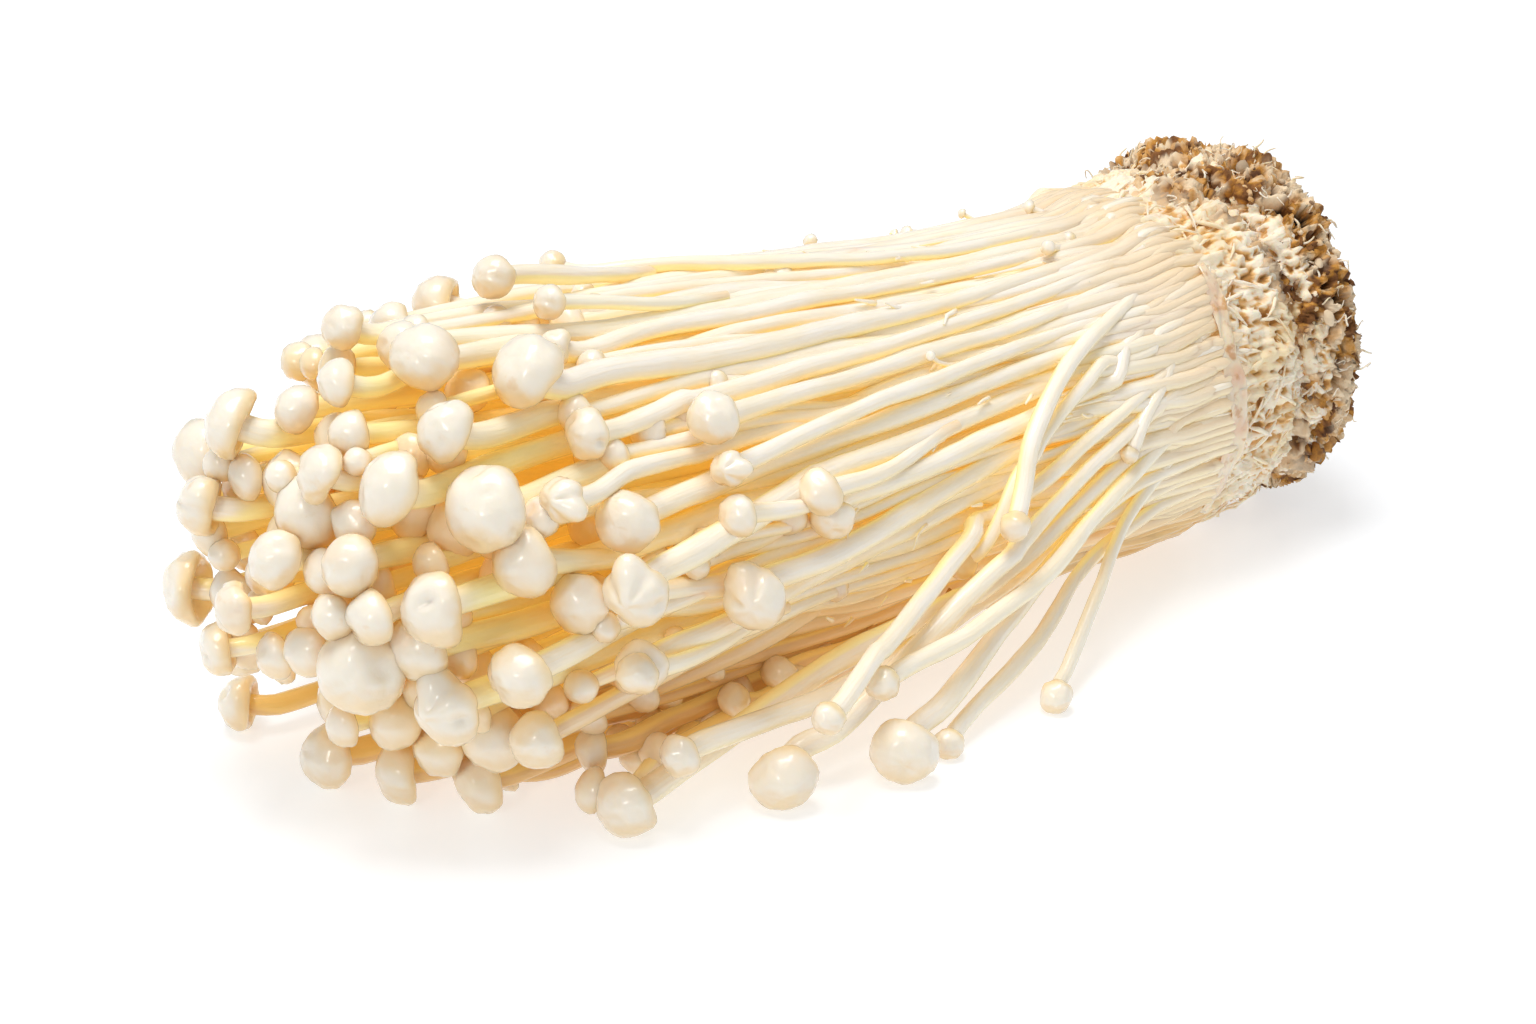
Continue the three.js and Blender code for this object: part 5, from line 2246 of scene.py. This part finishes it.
@dataclass(frozen=True)
class Studio:
    """A white floor under a pale sky, with softboxes and a long lens. Lengths in mm, angles in degrees."""

    neck: tuple[float, float]
    half_floor: float = 3000.0
    sky: str = "FFFCF7"
    sky_strength: float = 0.43
    lamps: tuple[Softbox, ...] = (
        Softbox("softbox_top", (-0.1, 0.1, 0.95), 0.5, 6.8),
        Softbox("softbox_left", (-0.85, -0.35, 0.5), 0.14, 1.3),
    )
    azimuth: float = -40.0
    rise: float = 25.0
    distance: float = 473.0
    aim_from_neck: tuple[float, float, float] = (-56.0, -7.0, 22.0)
    lens: float = 98.0
    sensor: float = 36.0
    clip_metres: float = 20.0
    max_bounces: int = 24
    diffuse_bounces: int = 18

    def build(self) -> None:
        """Lays the floor, hangs the lamps and sets the camera."""
        scene = bpy.context.scene
        half = self.half_floor
        corners = np.array([(-half, -half, 0), (half, -half, 0), (half, half, 0), (-half, half, 0)])
        floor = mesh_object("floor", corners, [(0, 1, 2, 3)])
        floor.data.materials.append(StudioWhite().build())
        floor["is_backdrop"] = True
        scene.world = bpy.data.worlds.new("studio")
        scene.world.use_nodes = True
        background = scene.world.node_tree.nodes["Background"].inputs
        background["Color"].default_value = srgb(self.sky)
        background["Strength"].default_value = self.sky_strength
        for lamp in self.lamps:
            lamp.build()
        self.set_camera(scene)
        scene.view_settings.view_transform = "Standard"
        scene.cycles.max_bounces = self.max_bounces
        scene.cycles.diffuse_bounces = self.diffuse_bounces

    def set_camera(self, scene: bpy.types.Scene) -> None:
        """Aims the camera at the bundle, from in front of its near side.

        Args:
            scene: the scene that it is for.
        """
        azimuth, rise = math.radians(self.azimuth), math.radians(self.rise)
        (x, y), (behind, aside, height) = self.neck, self.aim_from_neck
        target = Vector((x + behind, y + aside, height)) * MM
        back = Vector((
            math.sin(azimuth) * math.cos(rise), -math.cos(azimuth) * math.cos(rise), math.sin(rise),
        ))
        lens = bpy.data.cameras.new("camera")
        lens.lens = self.lens
        lens.sensor_width = self.sensor
        lens.clip_end = self.clip_metres
        camera = bpy.data.objects.new("camera", lens)
        camera.location = target + back * (self.distance * MM)
        camera.rotation_euler = back.to_track_quat("Z", "Y").to_euler()
        scene.collection.objects.link(camera)
        scene.camera = camera


def fit_small_caps(
    group: list[Mushroom], moulds: CapMoulds, button_radius: float, rng: np.random.Generator,
) -> list[Mushroom]:
    """Gives a cap shape to each mushroom of a group of small ones.

    Args:
        group: the mushrooms.
        moulds: the cap shapes to choose from.
        button_radius: cap radius in mm under which a cap is a closed button.
        rng: the source of chance.

    Returns:
        The same mushrooms.
    """
    for one in group:
        one.mould = moulds.pick(CapKind.BUTTON if one.cap_radius < button_radius else CapKind.ROUND, rng)
    return group


def main() -> None:
    """Builds the whole bunch and the studio round it."""
    logging.basicConfig(level=logging.INFO, format="%(message)s")
    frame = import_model()
    cad_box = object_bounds()
    rng = np.random.default_rng(7)
    nodes = frame["nodes"]

    neck_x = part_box("root_block")[0].x / MM
    section = Section.of(nodes["packed_stems"], neck_x, OUTER_LAYERS)
    stem_skin, cap_skin = StemFlesh().build(), CapSkin().build()
    moulds, plain_moulds = CapMoulds("cap_moulds", 40, 22), CapMoulds("plain_cap_moulds", 22, 13)
    for one in (moulds, plain_moulds):
        one.build()
    grower = StemGrower(stem_skin, cap_skin, moulds, section)
    grower.build_tree()
    felt, crumbled = MyceliumFelt().build(), SpentSubstrate().build()
    filler = replace(grower, moulds=plain_moulds)
    felter = replace(filler, stem_skin=felt)
    litter = replace(filler, stem_skin=crumbled)

    outer = OuterMushrooms(section, moulds, rng).build(nodes)
    inner = InnerStems(section, plain_moulds, rng)
    inner.build()
    Packing(section).settle(outer, inner.made)
    for one in inner.made:
        one.straighten(9)
    form = BlockForm.of(nodes["root_block"], nodes["substrate_crust"], neck_x)
    roots = Roots(section, form, np.random.default_rng(21))
    for one in outer + inner.made:
        reach, share, _ = section.polar(one.spine[0])
        if reach < 1.5 and share > 0.72:
            roots.run(one, roots.rng.uniform(3.5, 9.5))
        one.rest()

    for one in outer:
        keep(grower.grow(f"enoki_{one.name}", [one], wobble=1.4), "cap_and_stem", one.name)
    for number, place in enumerate(range(0, len(inner.made), GROUP_SIZE), 1):
        group = inner.made[place : place + GROUP_SIZE]
        piece = filler.grow(f"inner_stems_{number:02d}", group, sides=9, wobble=1.1)
        keep(piece, "cap_and_stem", "packed_stems")
    keep(BundleHeart(section, stem_skin).build(), "packed_stems", "packed_stems")

    thick = roots.strands(90, (4, 20), (2.5, 9), (0.4, 0.8))
    thin = roots.strands(190, (2, 26), (3, 10), (0.18, 0.42))
    for one in thick + thin:
        one.rest()
    keep(grower.grow("root_strands", thick + thin, sides=6, wobble=0.4), "mycelium")
    sprigs = roots.sprigs(90, (0, 0), (1.2, 4.0), 60) + roots.sprigs(14, (0.6, 1.1), (4, 8), 45)
    keep(filler.grow("stunted_sprigs", sprigs, sides=6, wobble=0.8), "cap_and_stem")
    young = fit_small_caps(roots.young(YOUNG), moulds, 2.1, roots.rng)
    keep(grower.grow("young_mushrooms", young, wobble=1.0), "cap_and_stem")
    slumped = fit_small_caps(roots.slumped(26), plain_moulds, 2.0, roots.rng)
    keep(filler.grow("slumped_mushrooms", slumped, sides=9, wobble=1.2), "cap_and_stem")
    bits = roots.sprigs(70, (0, 0), (0.8, 2.6), 52, (3.7, 4.3))
    keep(litter.grow("underside_bits", bits, sides=5, wobble=1.0), "substrate")

    keep(MyceliumBlock(form, felt).build(), "mycelium", "root_block")
    crust = keep(SubstrateCrust(form, crumbled).build(), "substrate", "substrate_crust")
    CrustLitter(crust, crumbled, felt).build()
    keep(felter.grow("felt_wool", roots.wool(240), sides=5, wobble=1.2), "mycelium")
    for one in (moulds, plain_moulds):
        one.clear()
    keep(FilmStrip(form, DriedSkin().build()).build(), "film", "dried_film")

    Studio((neck_x, float(form.middle_y[0]))).build()
    boxes = {"cad": cad_box, "visual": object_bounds()}
    {name: [list(map(float, corner)) for corner in box] for name, box in boxes.items()}


if __name__ == "__main__":
    main()
